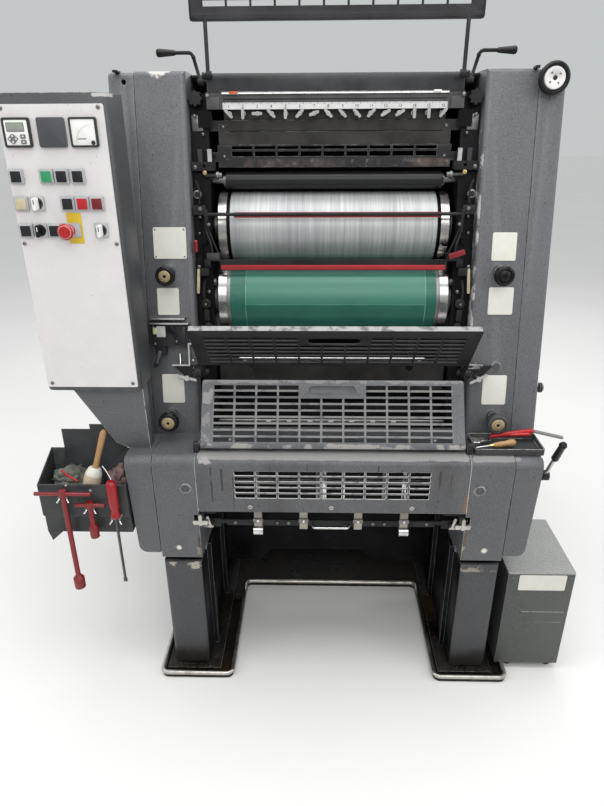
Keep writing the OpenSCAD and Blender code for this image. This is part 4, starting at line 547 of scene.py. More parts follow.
def make_finishes(settings):
    grey = tuple(settings.paint_color)
    # x, half width, foot and top of the dark runs down the hood
    runs = ((-296, 3, 560, 668), (-270, 4, 590, 664), (-243, 2, 540, 640), (-150, 2, 628, 672), (-60, 2, 634, 676),
            (112, 3, 626, 674), (236, 3, 548, 640), (262, 4, 560, 660), (290, 2, 600, 670))
    looks = {
        hammered_paint: {
            "paint": (grey, 0.35, 0.12),
            "tower_paint": (grey, 0.35, 0.08, (
                ((-440, 300, 1512), (-371, 362, 1540), (0.50, 0.47, 0.44)),
                ((480, 300, 1520), (530, 350, 1540), (0.42, 0.41, 0.39)),
                ((518, 150, 805), (530, 300, 860), (0.62, 0.60, 0.57)),
                ((341, 150, 890), (350, 400, 1420), (0.42, 0.41, 0.40), 0.55))),
            "hood_paint": (tint(grey, 0.92), 0.85, 1.0, (
                ((322, 20, 530), (338, 45, 600), (0.16, 0.10, 0.06), 0.54),
                # painted highlight: a lighter band along the hood's curved top edge
                ((-330, 36, 679), (330, 80, 692), (0.235, 0.231, 0.226), 0.27),
                ((-244, 20, 574), (244, 40, 648), (0.19, 0.188, 0.182), 0.40),
                ((-330, 36, 660), (-285, 80, 692), (0.30, 0.295, 0.285), 0.52),
                *(((x - w, 20, low), (x + w, 60, high), (0.034, 0.032, 0.030), 0.47) for x, w, low, high in runs))),
            "base_paint": (tint(grey, 0.50), 0.35, 0.25, (
                ((-452, 34, 346), (-330, 62, 374), (0.36, 0.32, 0.27), 0.53),
                ((330, 34, 346), (452, 62, 374), (0.24, 0.21, 0.18), 0.53)), 120.0),
            "pump_paint": ((0.056, 0.061, 0.057), 0.35, 0.15, (
                ((515, 50, 207.5), (640, 58, 210.5), (0.34, 0.34, 0.33), 0.44),
                ((531, 50, 171.5), (640, 58, 174), (0.22, 0.22, 0.22), 0.46))),
            "pump_lid": ((0.27, 0.275, 0.262), 0.5, 0.1),
            "guard_paint": (tint(grey, 1.1), 0.95, 0.5, (
                ((-325, 120, 780), (-290, 170, 860), (0.28, 0.275, 0.265), 0.55),
                ((-325, 60, 700), (-295, 120, 780), (0.20, 0.195, 0.19), 0.54),
                ((-326, 148, 831), (326, 172, 850), (0.20, 0.20, 0.195), 0.44),
                ((-297, 78, 712), (297, 142, 806), (0.20, 0.198, 0.192), 0.40),
                ((-297, 134, 800), (-86, 152, 832), (0.20, 0.198, 0.192), 0.40),
                ((86, 134, 800), (297, 152, 832), (0.20, 0.198, 0.192), 0.40),
                ((-330, 60, 690), (330, 84, 714), (0.30, 0.285, 0.265), 0.47))),
            "box_paint": (tint(grey, 0.95), 0.55, 0.3, (
                # painted highlight: a lighter band along the right box's curved top
                ((336, 34, 678), (456, 62, 692), (0.21, 0.207, 0.20), 0.27),
                ((-346, 20, 370), (-326, 45, 470), (0.045, 0.032, 0.022)),
                ((326, 20, 370), (346, 45, 480), (0.10, 0.066, 0.042)),
                ((330, 20, 384), (380, 45, 440), (0.26, 0.25, 0.235), 0.585),
                ((-352, 20, 384), (-334, 45, 430), (0.20, 0.17, 0.14), 0.56))),
            "plug_paint": (tint(grey, 0.62), 0.2, 0.2),
            "cabinet_paint": (tint(grey, 0.6), 0.4, 0.1, (
                # painted highlight along the cabinet's rounded top corner
                ((-480, 60, 1469), (-440, 120, 1482), (0.40, 0.39, 0.38), 0.36),)),
        },
        edge_sheen_and_wear: {
            # edge finishes are lighter than the faces they round off, a painted edge highlight, with rubbed paint in
            # spots; tower_plug is the darker paint of the plugs
            "paint_edge": (tint(grey, 1.8), (0.42, 0.415, 0.40), 0.66),
            "guard_edge": (tint(grey, 1.5), (0.62, 0.61, 0.585), 0.86),
            "base_edge": (tint(grey, 0.9), (0.27, 0.255, 0.235), 0.72),
            "black_edge": ((0.018, 0.018, 0.019), (0.24, 0.24, 0.235), 0.6),
            "dark_edge": ((0.03, 0.03, 0.03), (0.20, 0.20, 0.195), 0.5),
            "sheet_edge": ((0.16, 0.162, 0.168), (0.50, 0.50, 0.49), 0.7),
            "tower_plug": (tint(grey, 0.6), tint(grey, 1.7), 0.3),
            "bar_worn": ((0.10, 0.10, 0.098), (0.30, 0.30, 0.29), 0.75),
        },
        oily_black: {
            "black": (),
            "deep_black": ((0.0035, 0.0035, 0.004), 0.6, 0.35, (0.13, 0.125, 0.12), 0.08),
            "black_worn": ((0.010, 0.010, 0.011), 0.8, 0.2, (0.30, 0.29, 0.28), 0.16),
            "dark": ((0.012, 0.012, 0.013), 0.4, 0.35, (0.20, 0.19, 0.18), 0.18),
            "brown_grey": ((0.019, 0.018, 0.017), 0.5, 0.6, (0.13, 0.12, 0.11), 0.2),
            "band_grey": ((0.048, 0.047, 0.048), 0.6, 0.3, (0.26, 0.25, 0.24)),
            "cover_grey": ((0.024, 0.0245, 0.0255), 0.15, 0.1, (0.10, 0.10, 0.10)),
            "guard_sheet": ((0.018, 0.018, 0.019), 0.5, 0.45, (0.20, 0.19, 0.18)),
            "dark_sheet": ((0.028, 0.029, 0.030), 0.1, 0.05, (0.20, 0.20, 0.20), 0.24),
            "tray_sheet": ((0.030, 0.030, 0.031), 0.5, 0.5),
        },
        bare_metal: {
            "steel": (),
            "bright": ((0.74, 0.73, 0.71), 0.24, 0.05),
            "dull_steel": ((0.26, 0.255, 0.25), 0.42, 0.5),
            "rim": ((0.60, 0.575, 0.53), 0.36, 0.55, 0.25),
            "rusty_rim": ((0.50, 0.47, 0.43), 0.42, 0.3, 0.6),
            "bearer": ((0.50, 0.49, 0.48), 0.22, 0.3, 0.0, 0.2),
            "plate_bearer": ((0.50, 0.48, 0.46), 0.2, 0.95, 0.2, 0.2),
            "brass": ((0.66, 0.50, 0.24), 0.28, 0.15),
            "key_metal": ((0.52, 0.51, 0.48), 0.4, 0.75),
            "blade": ((0.16, 0.155, 0.15), 0.4, 0.4),
        },
        plastic: {
            "handle_red": ((0.30, 0.008, 0.013), 0.2, 0.1),
            "cover_red": ((0.36, 0.016, 0.022), 0.35, 0.3),
            "red": ((0.43, 0.010, 0.012), 0.28, 0.05),
            "dark_red": ((0.17, 0.006, 0.008), 0.3, 0.05),
            "red_paint": ((0.21, 0.010, 0.013), 0.3, 0.5),
            "orange": ((0.60, 0.10, 0.02), 0.4, 0.2),
            "yellow": ((0.70, 0.48, 0.02), 0.4, 0.1),
            "switch_tab": ((0.52, 0.52, 0.26), 0.4, 0.2),
            "knob_disc": ((0.40, 0.31, 0.165), 0.35, 0.5, 0.6),
            "cream_disc": ((0.56, 0.47, 0.31), 0.4, 0.3),
            "cream": ((0.66, 0.645, 0.575), 0.5, 0.45, 0.9),
            "white": ((0.665, 0.640, 0.630), 0.34, 0.6, 0.93),
            "white_plastic": ((0.76, 0.755, 0.73), 0.34, 0.1, 0.9),
            "panel_edge": ((0.55, 0.55, 0.54), 0.4, 0.5),
            "label_grey": ((0.50, 0.50, 0.47), 0.45, 0.4, 0.8),
            "scale": ((0.66, 0.66, 0.65), 0.42, 0.75, 0.8),
            "bezel": ((0.42, 0.425, 0.43), 0.35, 0.2, 0.85),
            "grey_plastic": ((0.15, 0.155, 0.165), 0.42, 0.1),
            "charcoal": ((0.050, 0.051, 0.060), 0.45, 0.3, 0.9),
            "print": ((0.018, 0.018, 0.018), 0.5, 0.0),
            "roller": ((0.014, 0.0145, 0.015), 0.32, 0.0, 0.78, 0.28),
            "rubber": ((0.006, 0.006, 0.0065), 0.3, 0.1, 0.78, 0.26),
            "black_plastic": ((0.012, 0.012, 0.014), 0.32, 0.2, 0.78, 0.35),
            "ring_black": ((0.012, 0.012, 0.013), 0.3, 0.1, 0.78, 0.3),
            "rubber_worn": ((0.045, 0.046, 0.047), 0.55, 0.2, 0.7),
            "strip_metal": ((0.36, 0.33, 0.275), 0.4, 0.4, 0.8),
            "wood": ((0.42, 0.24, 0.10), 0.45, 0.4, 0.7),
            "pale_wood": ((0.58, 0.47, 0.33), 0.6, 0.5, 0.8),
            "table_wood": ((0.34, 0.25, 0.16), 0.6, 0.4, 0.7),
            "wood_edge": ((0.42, 0.33, 0.23), 0.6, 0.4, 0.8),
            "rag_green": ((0.15, 0.155, 0.125), 0.9, 0.3, 0.4),
            "rag_red": ((0.24, 0.155, 0.15), 0.9, 0.3, 0.5),
            "rag_dark": ((0.030, 0.033, 0.034), 0.9, 0.2, 0.5),
            "strap": ((0.34, 0.33, 0.29), 0.8, 0.3, 0.8),
        },
        lamp: {"green_lamp": ((0.02, 0.28, 0.10), 0.15), "display": ((0.27, 0.31, 0.25), 0.10)},
        greasy_floor: {"greasy": ()},
        plate_metal: {"plate": ()},
        blanket_rubber: {"green": ()},
        smeared_sheet: {"smeared_sheet": (1326, 1344)},
    }
    for maker, rows in looks.items():
        for name, values in rows.items():
            FINISHES[name] = maker(name, *values)


# ---------------------------------------------------------------- repeated fittings, grown by geometry nodes


class Grower:
    """A geometry node tree under construction."""

    KINDS = {int: "NodeSocketInt", float: "NodeSocketFloat", type(None): "NodeSocketMaterial"}

    def __init__(self, name, **sizes):
        self.tree = bpy.data.node_groups.new(name, "GeometryNodeTree")
        sockets = self.tree.interface
        sockets.new_socket("geometry", in_out="INPUT", socket_type="NodeSocketGeometry")
        for label, default in sizes.items():
            made = sockets.new_socket(label, in_out="INPUT", socket_type=self.KINDS[type(default)])
            if default is not None:
                made.default_value = default
        sockets.new_socket("geometry", in_out="OUTPUT", socket_type="NodeSocketGeometry")
        given = self.tree.nodes.new("NodeGroupInput").outputs
        self.given = {label: given[label] for label in ("geometry", *sizes)}

    def node(self, kind, inputs=None, **options):
        made = self.tree.nodes.new(kind)
        for key, value in options.items():
            setattr(made, key, value)
        for key, value in (inputs or {}).items():
            if isinstance(value, bpy.types.NodeSocket):
                self.tree.links.new(value, made.inputs[key])
            else:
                made.inputs[key].default_value = value
        return made.outputs[0]

    def times(self, a, factor):
        return self.node("ShaderNodeMath", {0: a, 1: factor}, operation="MULTIPLY")

    def vector(self, **parts):
        return self.node("ShaderNodeCombineXYZ", parts)

    def moved(self, geometry, lift):
        return self.node("GeometryNodeTransform", {"Geometry": geometry, "Translation": self.vector(Z=lift)})

    def block(self, **sides):
        return self.node("GeometryNodeMeshCube", {"Size": self.vector(**sides)})

    def painted(self, geometry, finish):
        return self.node("GeometryNodeSetMaterial", {"Geometry": geometry, "Material": finish})

    def joined(self, *parts):
        made = self.tree.nodes.new("GeometryNodeJoinGeometry")
        for part in parts:
            self.tree.links.new(part, made.inputs[0])
        return made.outputs[0]

    def close(self, geometry, finish=None):
        real = self.node("GeometryNodeRealizeInstances", {"Geometry": geometry})
        if finish is not None:
            real = self.painted(real, finish)
        self.tree.links.new(real, self.tree.nodes.new("NodeGroupOutput").inputs[0])
        return self.tree


def screw_tree():
    """Round screw heads with a slot, one on each given point, turned by the point's own angles."""
    g = Grower("screw_heads", radius=0.003, height=0.0015, finish=None, slot_finish=None)
    r, h = g.given["radius"], g.given["height"]
    foot = g.node("GeometryNodeMeshCone", {"Vertices": 16, "Radius Top": r, "Radius Bottom": r,
                                           "Depth": g.times(h, 0.6)})
    dome = g.node("GeometryNodeMeshCone", {"Vertices": 16, "Radius Top": g.times(r, 0.62), "Radius Bottom": r,
                                           "Depth": g.times(h, 0.4)})
    slot = g.block(X=g.times(r, 1.3), Y=g.times(r, 0.24), Z=g.times(h, 0.12))
    head = g.joined(g.painted(g.joined(foot, g.moved(dome, g.times(h, 0.6))), g.given["finish"]),
                    g.painted(g.moved(slot, h), g.given["slot_finish"]))
    turn = g.node("GeometryNodeInputNamedAttribute", {"Name": "turn"}, data_type="FLOAT_VECTOR")
    return g.close(g.node("GeometryNodeInstanceOnPoints", {"Points": g.given["geometry"], "Instance": head,
                                                           "Rotation": turn}))


def row_tree():
    """Equal blocks in a straight row along X."""
    g = Grower("block_row", count=10, pitch=0.01, width=0.001, height=0.001, depth=0.001, finish=None)
    line = g.node("GeometryNodeMeshLine", {"Count": g.given["count"], "Offset": g.vector(X=g.given["pitch"])})
    block = g.block(X=g.given["width"], Y=g.given["height"], Z=g.given["depth"])
    return g.close(g.node("GeometryNodeInstanceOnPoints", {"Points": line, "Instance": block}), g.given["finish"])


def ring_tree():
    """Equal blocks on an arc about local Z, each pointing outwards."""
    g = Grower("block_ring", count=10, radius=0.01, start=0.0, sweep=math.tau, length=0.001, width=0.001,
               depth=0.001, finish=None)
    arc = g.node("GeometryNodeCurveArc", {"Resolution": g.given["count"], "Radius": g.given["radius"],
                                          "Start Angle": g.given["start"], "Sweep Angle": g.given["sweep"]})
    spots = g.node("GeometryNodeCurveToPoints", {"Curve": arc}, mode="EVALUATED")
    block = g.block(X=g.given["width"], Y=g.given["depth"], Z=g.given["length"])
    outwards = g.node("FunctionNodeAlignEulerToVector", {"Vector": g.node("GeometryNodeInputPosition")}, axis="Z")
    return g.close(g.node("GeometryNodeInstanceOnPoints", {"Points": spots, "Instance": block,
                                                           "Rotation": outwards}), g.given["finish"])


def tube_tree():
    """A round bar along the given curve, closed at its ends."""
    g = Grower("bar_along_path", radius=0.004, finish=None)
    ring = g.node("GeometryNodeCurvePrimitiveCircle", {"Resolution": 12, "Radius": g.given["radius"]})
    return g.close(g.node("GeometryNodeCurveToMesh", {"Curve": g.given["geometry"], "Profile Curve": ring,
                                                      "Fill Caps": True}), g.given["finish"])


TREES = {}


def grown(kind, source=None, where=None, **values):
    """The plain mesh that a tree makes with these input values."""
    tree = TREES[kind]
    holder = linked(kind, source or bpy.data.meshes.new(kind))
    modifier = holder.modifiers.new("grow", "NODES")
    modifier.node_group = tree
    for item in tree.interface.items_tree:
        if item.in_out == "INPUT" and item.name in values:
            value = values[item.name]
            modifier[item.identifier] = FINISHES[value] if isinstance(value, str) else value
    mesh = evaluated(holder)
    bpy.data.objects.remove(holder)
    if where is not None:
        mesh.transform(where)
    return mesh


def settle(name, meshes, body="press"):
    """One piece from finished meshes that lie in the row frame."""
    whole = bmesh.new()
    finishes = []
    for mesh in meshes:
        part = bmesh.new()
        part.from_mesh(mesh)
        bmesh.ops.remove_doubles(part, verts=part.verts, dist=WELD)
        bmesh.ops.recalc_face_normals(part, faces=part.faces)
        for item in part.faces:
            finish = mesh.materials[item.material_index]
            if finish not in finishes:
                finishes.append(finish)
            item.material_index = finishes.index(finish)
            item.smooth = True
        part.to_mesh(mesh)
        part.free()
        whole.from_mesh(mesh)
        bpy.data.meshes.remove(mesh)
    joined = bpy.data.meshes.new(name)
    whole.to_mesh(joined)
    whole.free()
    for finish in finishes:
        joined.materials.append(finish)
    joined.set_sharp_from_angle(angle=math.radians(35.0))
    made = linked(name, joined)
    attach(made, body)


def screws(name, frames, radius, height, finish="dull_steel", slot_finish="print", body="press"):
    """A piece of equal screw heads, one on each local frame."""
    points = bpy.data.meshes.new("screw_places")
    points.from_pydata([spot.translation for spot in frames], [], [])
    turns = points.attributes.new("turn", "FLOAT_VECTOR", "POINT")
    for item, where in zip(turns.data, frames):
        item.vector = where.to_quaternion().to_euler()
    settle(name, [grown("screws", points, radius=radius / 1000, height=height / 1000, finish=finish,
                        slot_finish=slot_finish)], body)


def tube(points, radius, finish):
    """A bar through points given in millimetres as (x, y, z) from the tray's front rim."""
    curve = bpy.data.curves.new("path", "CURVE")
    curve.dimensions = "3D"
    knots = curve.splines.new("BEZIER").bezier_points
    knots.add(len(points) - 1)
    for knot, point in zip(knots, points):
        knot.co = at(*point)
        knot.handle_left_type = knot.handle_right_type = "AUTO"
    curve.resolution_u = 6
    return grown("tubes", curve, radius=radius / 1000, finish=finish)


# ---------------------------------------------------------------- casings


def make_towers():
    dress("towers", ["tower_paint", "tower_plug", "paint_edge"], lambda m, n: (
        "tower_paint" if m.y > tower_y(m.z) - 1.0 or m.z > 1500 else "tower_plug"), 1.6)
    dress("tower_covers", ["tower_paint", "black_plastic", "paint_edge"], lambda m, n: (
        "black_plastic" if m.x > 525 else "tower_paint"), 1.6)
    # clips on top of the towers
    clips = Piece("tower_clips", "black_plastic")
    for x in (452, 476):
        clips.slab(upright(x, 330, TOWER_TOP - 1), 9, 26, 2, 6)
    clips.slab(upright(-500, 330, TOWER_TOP - 3), 12, 30, 2, 5)
    clips.done()


def make_boxes():
    def rule(m, n):
        if 335.5 < abs(m.x) < 347.5 and 490 < m.z < 530 and m.y < 62:
            return "deep_black"
        if m.y < BOX_FRONT - 0.2:
            return "plug_paint" if m.z > 500 else "cream"
        return "box_paint"

    dress("side_boxes", ["box_paint", "plug_paint", "cream", "deep_black", "paint_edge"], rule, 1.4)
    dress("box_covers", ["box_paint", "paint_edge"], None, 1.6)
    dress("delivery_hood", ["hood_paint", "guard_edge"], None, 0.9, 1, False)
    screws("hood_bolts", [facing(x, BOX_FRONT, 550) for x in (-203, -1, 199)], 6, 3.4, "rim")
    # worn catches that the hood hangs on
    for side, x, z in (("left", -331, 509), ("right", 331, 502)):
        catch = Piece("hood_catch_" + side, "rim")
        catch.slab(facing(x, BOX_FRONT + 20, z), 9, 32, 2, 24, 1.0)
        catch.slab(facing(x, BOX_FRONT + 6, z - 6), 40, 9, 2, 8, 1.0)
        catch.rod(at(x - 18, BOX_FRONT, z - 12), at(x + 18, BOX_FRONT, z - 12), 3.0)
        catch.done(slot="dark_metal")


def make_bases():
    # the legs' inner faces and the inner strip of the foot plates take deep black, a painted shade between the legs
    dress("side_bases", ["base_paint", "greasy", "deep_black", "base_edge"], lambda m, n: (
        "greasy" if m.z < 14.5 else "deep_black" if abs(m.x) < 338 or (n.x * m.x < 0 and abs(n.x) > 0.9)
        else "base_paint"), 1.5)
    # dry ink and grease that has built up on the foot plates
    random.seed(41)
    crust = Piece("foot_grime", "greasy")
    for side in (-1, 1):
        for _ in range(26):
            x = side * random.choice((random.uniform(310, 336), random.uniform(342, 456)))
            y = random.uniform(30, 42) if abs(x) > 337 else random.uniform(40, 420)
            r = random.uniform(3, 9)
            crust.turned(upright(x, y, 12.6, random.uniform(0, 360)), [
                (r, 0), (r * 0.9, 0.8 + r * 0.1), (r * 0.5, 1.2 + r * 0.22), (0, 1.4 + r * 0.25)], 9)
    crust.done(slot="dark_metal")


def make_tray():
    dress("drip_tray", ["greasy", "rim"], lambda m, n: "rim" if m.z > 9 else "greasy", 0)


def make_plates():
    dress("blank_plates", ["cream", "cream"], None, 0.3, 1)
    screws("plate_screws", [on_tower(-397 + x, 1159 + z * math.cos(LEAN), 1.5) for x in (-35, 35) for z in (-32, 32)],
           2.2, 1.0)


# ---------------------------------------------------------------- guards


def make_guards():
    dress("top_guard", ["black_worn", "black_edge"], None, 0.7, 1, False)
    lean = math.radians(UP_LEAN)
    # the upward faces of the guard's top bar are a lighter grey: painted highlight with rubbed paint
    dress("upper_guard", ["black_worn", "bar_worn", "black_edge"], lambda m, n: (
        "bar_worn" if n.z > 0.3 and math.cos(lean) * (m.z - UP_HINGE[1]) - math.sin(lean) * (m.y - UP_HINGE[0]) > 222.5
        else "black_worn"), 0.7, 1, False)
    dress("lower_guard", ["guard_paint", "guard_edge"], None, 0.7, 1, False)
    dress("guard_hinges", ["black", "dark_edge"], None, 0.6, 1)
    screws("upper_guard_screws", [on_guard(UP_HINGE, UP_LEAN, x, 84, 16) for x in (-300, 300)], 4, 2.4,
           body="upper_guard_body")
    screws("lower_guard_screws", [on_guard(LOW_HINGE, -LOW_LEAN, x, 12, 0.2) for x in (-250, 250)], 3.5, 1.8,
           body="lower_guard_body")


def make_inner_deck():
    dress("inner_deck", ["deep_black", "bright", "brown_grey", "dark_edge"], lambda m, n: (
        "bright" if m.z > 858 and 240 < m.y < 275 else
        "brown_grey" if m.y < 262 and 790 < m.z < 850 and abs(m.x) < 293 else "deep_black"), 0.6, 1)
    # the bright shaft that shows through the upper guard
    shaft = Piece("bright_shaft", "bright")
    shaft.rod(at(-228, 268, 852), at(228, 268, 852), 9, 24)
    for x in (-228, 228):
        shaft.use("dull_steel").turned(sideways(x, 268, 852), [(14, -6), (15, -5), (15, 5), (14, 6)], 20)
    shaft.done()
    # rails, a dashed guide rod and bent brackets behind the lower guard
    rails = Piece("inside_rails", "dark")
    rails.slab(facing(0, 262, 727), 590, 15, 2, 5)
    rails.rod(at(-334, 250, 612), at(334, 250, 612), 9, 20)
    rails.use("dull_steel").slab(facing(0, 262, 655), 590, 7, 1, 4)
    rails.rod(at(-334, 240, 693), at(334, 240, 693), 4.5)
    rails.done()
    dashes = grown("rows", where=facing(-168, 235, 693), count=7, pitch=56, width=13, height=3.5, depth=1.6,
                   finish="white_plastic")
    settle("inside_brackets", [dashes] + [tube([
        (x - 34, 256, 655), (x - 16, 236, 632), (x + 8, 230, 641), (x + 30, 236, 618), (x + 52, 244, 612)],
        2.4, "bright") for x in (-60, 74)])
    # upright sheet guides that show through the hood's slots
    guides = Piece("sheet_guides", "dark")
    guides.slab(facing(0, 128, 622), 671, 16, 2, 4)
    for x, w, finish in ((-191, 8, "dull_steel"), (-36, 7, "dull_steel"), (-17, 10, "bright"), (32, 9, "bright"),
                         (137, 7, "dull_steel"), (190, 11, "bright")):
        guides.use(finish).slab(facing(x, 124, 571), w, 118, 1.5, 4, 0.6)
    guides.done(slot="dark_metal")


# ---------------------------------------------------------------- cylinders and what shows beside them


def cylinder_rule(axis, body, sides, bearer):
    def rule(m, n):
        reach = math.hypot(m.y - axis[0], m.z - axis[1])
        across = abs(m.x)
        if across < 255.5 and abs(n.x) < 0.5:
            return body if reach > 83.5 else "dull_steel"
        if across > 263.5 and reach > CYLINDER_R - 5 and abs(n.x) < 0.8:
            return bearer
        return bearer if across > 270 and reach > 60 and abs(n.x) > 0.8 else sides

    return rule


def make_cylinders():
    for node, axis, body, sides, bearer in (
            ("plate_cylinder", PLATE_AXIS, "plate", "deep_black", "plate_bearer"),
            ("blanket_cylinder", BLANKET_AXIS, "green", "dull_steel", "bearer")):
        dress(node, [body, bearer, "dull_steel", "deep_black"], cylinder_rule(axis, body, sides, bearer), 0)
    dress("form_roller", ["roller", "dull_steel"], lambda m, n: "roller" if abs(m.x) < 267 else "dull_steel", 0)


def make_mechanism():
    def frame_rule(m, n):
        across = abs(m.x)
        if 1455 < m.z < 1500 and m.y < 357:
            return "dark"
        if m.y < 336 and 1340.5 < m.z < 1370:
            return "dull_steel" if across < 318 else "dark"
        if m.y < 345 and 1298 < m.z < 1322 and across < 345:
            return "dull_steel"
        if m.y < 330 and 1318 < m.z < 1342:
            return "dark"
        return "dull_steel" if across < 299.5 else "deep_black"

    dress("inner_frames", ["deep_black", "dark", "dull_steel", "dark_edge"], frame_rule, 0.7, 1)
    dress("nip_guards", ["dark", "black_edge"], None, 0.6, 1)
    # red covers along the two nips
    red = Piece("nip_covers", "cover_red")
    red.slab(facing(8, 291, 1221), 500, 13, 1.2, 1.6, 0.5)
    red.slab(facing(0, 270, 1098.5), 552, 12, 2, 1.6, 0.6)
    red.use("rubber_worn").slab(facing(-295, 274, 1125.5), 31, 15, 2, 5)
    red.use("red_paint").slab(facing(300, 268, 1131, 18), 40, 13, 3, 5)
    red.rod(at(-334, 262, 1166), at(-335, 264, 1137), 5.5, 14, 2.0)
    red.done(slot="red_tools")
    # links, pins and worn cream strips, the same on both sides
    links, dots = [], []
    strips = Piece("cream_strips", "cream_disc")
    mech = Piece("side_mechanism")
    ends = Piece("fountain_ends")
    for s in (-1, 1):
        for points, r, finish in (
                (((309, 286, 1224), (312, 290, 1190), (300, 282, 1150), (296, 276, 1118)), 2.4, "dark"),
                (((318, 262, 1068), (322, 258, 1040), (320, 262, 1004), (326, 270, 960)), 3.2, "black"),
                (((330, 300, 1300), (322, 296, 1270), (326, 292, 1242)), 2.2, "dark")):
            links.append(tube([(s * x, y, z) for x, y, z in points], r, finish))
        strips.slab(facing(s * 334, 264, 1066, s * 5), 7, 62, 2, 4)
        for finish, x, y, z, steps, profile in (
                ("brass", 309, 312, 1316, 18, [(4, 0), (5, 1), (5, 5), (3, 6), (3, 9), (0, 9)]),
                ("dull_steel", 328, 300, 1268, 20, [(9, 0), (10, 1), (10, 4), (7, 5), (0, 5)]),
                ("dark", 328, 296, 1268, 20, [(6, 0), (6.5, 0.6), (6.5, 3), (0, 3.2)]),
                ("dull_steel", 322, 290, 1236, 16, [(4, 0), (4.5, 0.5), (4.5, 3), (0, 3.4)]),
                ("dark", 318, 264, 1010, 22, [(11, 0), (12, 1), (12, 6), (8, 8), (5, 8), (5, 11), (0, 11)]),
                ("dull_steel", 318, 253, 1010, 12, [(3, 0), (3, 2), (0, 2)]),
                ("dark", 316, 258, 952, 20, [(9, 0), (10, 1), (10, 6), (6, 8), (0, 8)]),
                ("dull_steel", 303, 284, 1200, 14, [(4, 0), (4, 3), (0, 4)])):
            mech.use(finish).turned(facing(s * x, y, z), profile, steps)
        for finish, x, y, z, *block in (
                ("dark", 325, 300, 1232, 30, 22, 3, 10), ("dark", 310, 276, 1108, 16, 20, 2, 8),
                ("black", 316, 262, 1090, 22, 18, 2, 8), ("dark", 318, 262, 980, 14, 30, 3, 6)):
            mech.use(finish).slab(facing(s * x, y, z), *block, 1.0)
        for x, y, z in ((326, 284, 1330), (312, 338, 1400), (330, 340, 1440), (311, 300, 1180), (330, 300, 1176),
                        (309, 262, 1040), (330, 262, 1102), (326, 300, 1216), (336, 240, 900)):
            dots.append(facing(s * x, y, z))
        ends.use("band_grey").slab(facing(s * 284, 341, 1466), 30, 26, 2, 3, 0.6)
        ends.use("dull_steel").slab(facing(s * 326, 352, 1424), 26, 34, 2, 3, 0.6)
        ends.turned(facing(s * 296, 337, 1482), [(4, 0), (5, 1), (4, 5), (0, 6)], 14)
    settle("guard_links", links)
    strips.done(slot="cream_plates")
    mech.done()
    screws("mechanism_screws", dots, 4.0, 2.6)
    ends.done(slot="dark_metal")


# ---------------------------------------------------------------- ink unit


def make_ink_unit():
    dress("ink_cover", ["cover_grey", "dark_edge"], None, 1.2)
    dress("ink_fountain", ["brown_grey", "bright", "band_grey", "dark_edge"], lambda m, n: (
        "bright" if n.y < -0.5 and m.z > 1483.5 else
        "band_grey" if n.y < -0.5 and 1468 < m.z < 1484 else "brown_grey"), 0.5, 1)
    dress("ink_scale", ["scale", "scale"], None, 0.3, 1)
    first = -(KEY_COUNT - 1) / 2 * KEY_PITCH + KEY_SHIFT
    numbers = Piece("scale_numbers", "print")
    for k in range(KEY_COUNT):
        numbers.words(facing(first + k * KEY_PITCH, SCALE_FACE - 1.5, 1459.2), str(k + 1), 9.5, 0.02, 0.25)
    numbers.done(slot="bare_steel")
    ticks = grown("rows", where=facing(first - KEY_PITCH / 4, SCALE_FACE - 1.6, 1465.5), count=2 * KEY_COUNT - 1,
                  pitch=KEY_PITCH / 2, width=0.7, height=3.4, depth=0.3, finish="print")
    settle("scale_ticks", [ticks])
    dress("ink_keys", ["key_metal", "key_metal"], None, 0.7)
    # small tabs of the sheet stops on the fountain's lip
    tabs = Piece("lip_tabs", "orange")
    tabs.slab(facing(-235, 338, 1488), 20, 5, 1, 5)
    tabs.use("white_plastic").slab(facing(236, 338, 1489), 18, 5, 1, 5)
    tabs.done()
    lip = Piece("fountain_lip", "bright")
    lip.rod(at(-262, 339, 1486), at(262, 339, 1486), 1.8)
    lip.use("dark").slab(facing(0, 342, 1474.5), 520, 2.5, 0.5, 1.4, 0.3)
    lip.done(slot="dark_metal")
    dress("roller_guard", ["guard_sheet", "rusty_rim", "smeared_sheet", "dark_edge"], lambda m, n: (
        "guard_sheet" if n.y >= -0.5 else "rusty_rim" if m.z < 1326 else "smeared_sheet"), 0.5, 1, False)
    screws("guard_screws", [facing(x, y, z) for x in (-266, 266) for y, z in ((352, 1350), (356, 1416))], 3.2, 1.8)


# ---------------------------------------------------------------- knobs, levers, switch


def make_knobs():
    for node, x, z, r, tyre, disc in (("knob_upper_left", -400, 1094, 23.5, "rubber", "knob_disc"),
                                      ("knob_upper_right", 400, 1094, 23.5, "rubber", "rubber"),
                                      ("knob_lower_left", -410, 740, 25.5, "rubber", "knob_disc"),
                                      ("knob_lower_right", 410, 740, 25.5, "rubber_worn", "knob_disc")):
        face = tower_y(z) - 63

        def rule(m, n):
            reach = math.hypot(m.x - x, m.z - z)
            if m.y > face + 17 or (m.y > face + 14 and reach < 7):
                return "dull_steel"
            return tyre if reach > r - 9.8 else "rubber" if reach < 4.2 else disc

        dress(node, [tyre, "dull_steel", "knob_disc", "rubber"], rule, 0, merged=False)
        if disc == "knob_disc":
            holes = grown("rings", where=facing(x, face + 0.3, z), count=9, radius=9.5, length=0.5, width=2.4,
                          depth=1.6, finish="rubber")
            settle(node + "_holes", [holes], node + "_body")


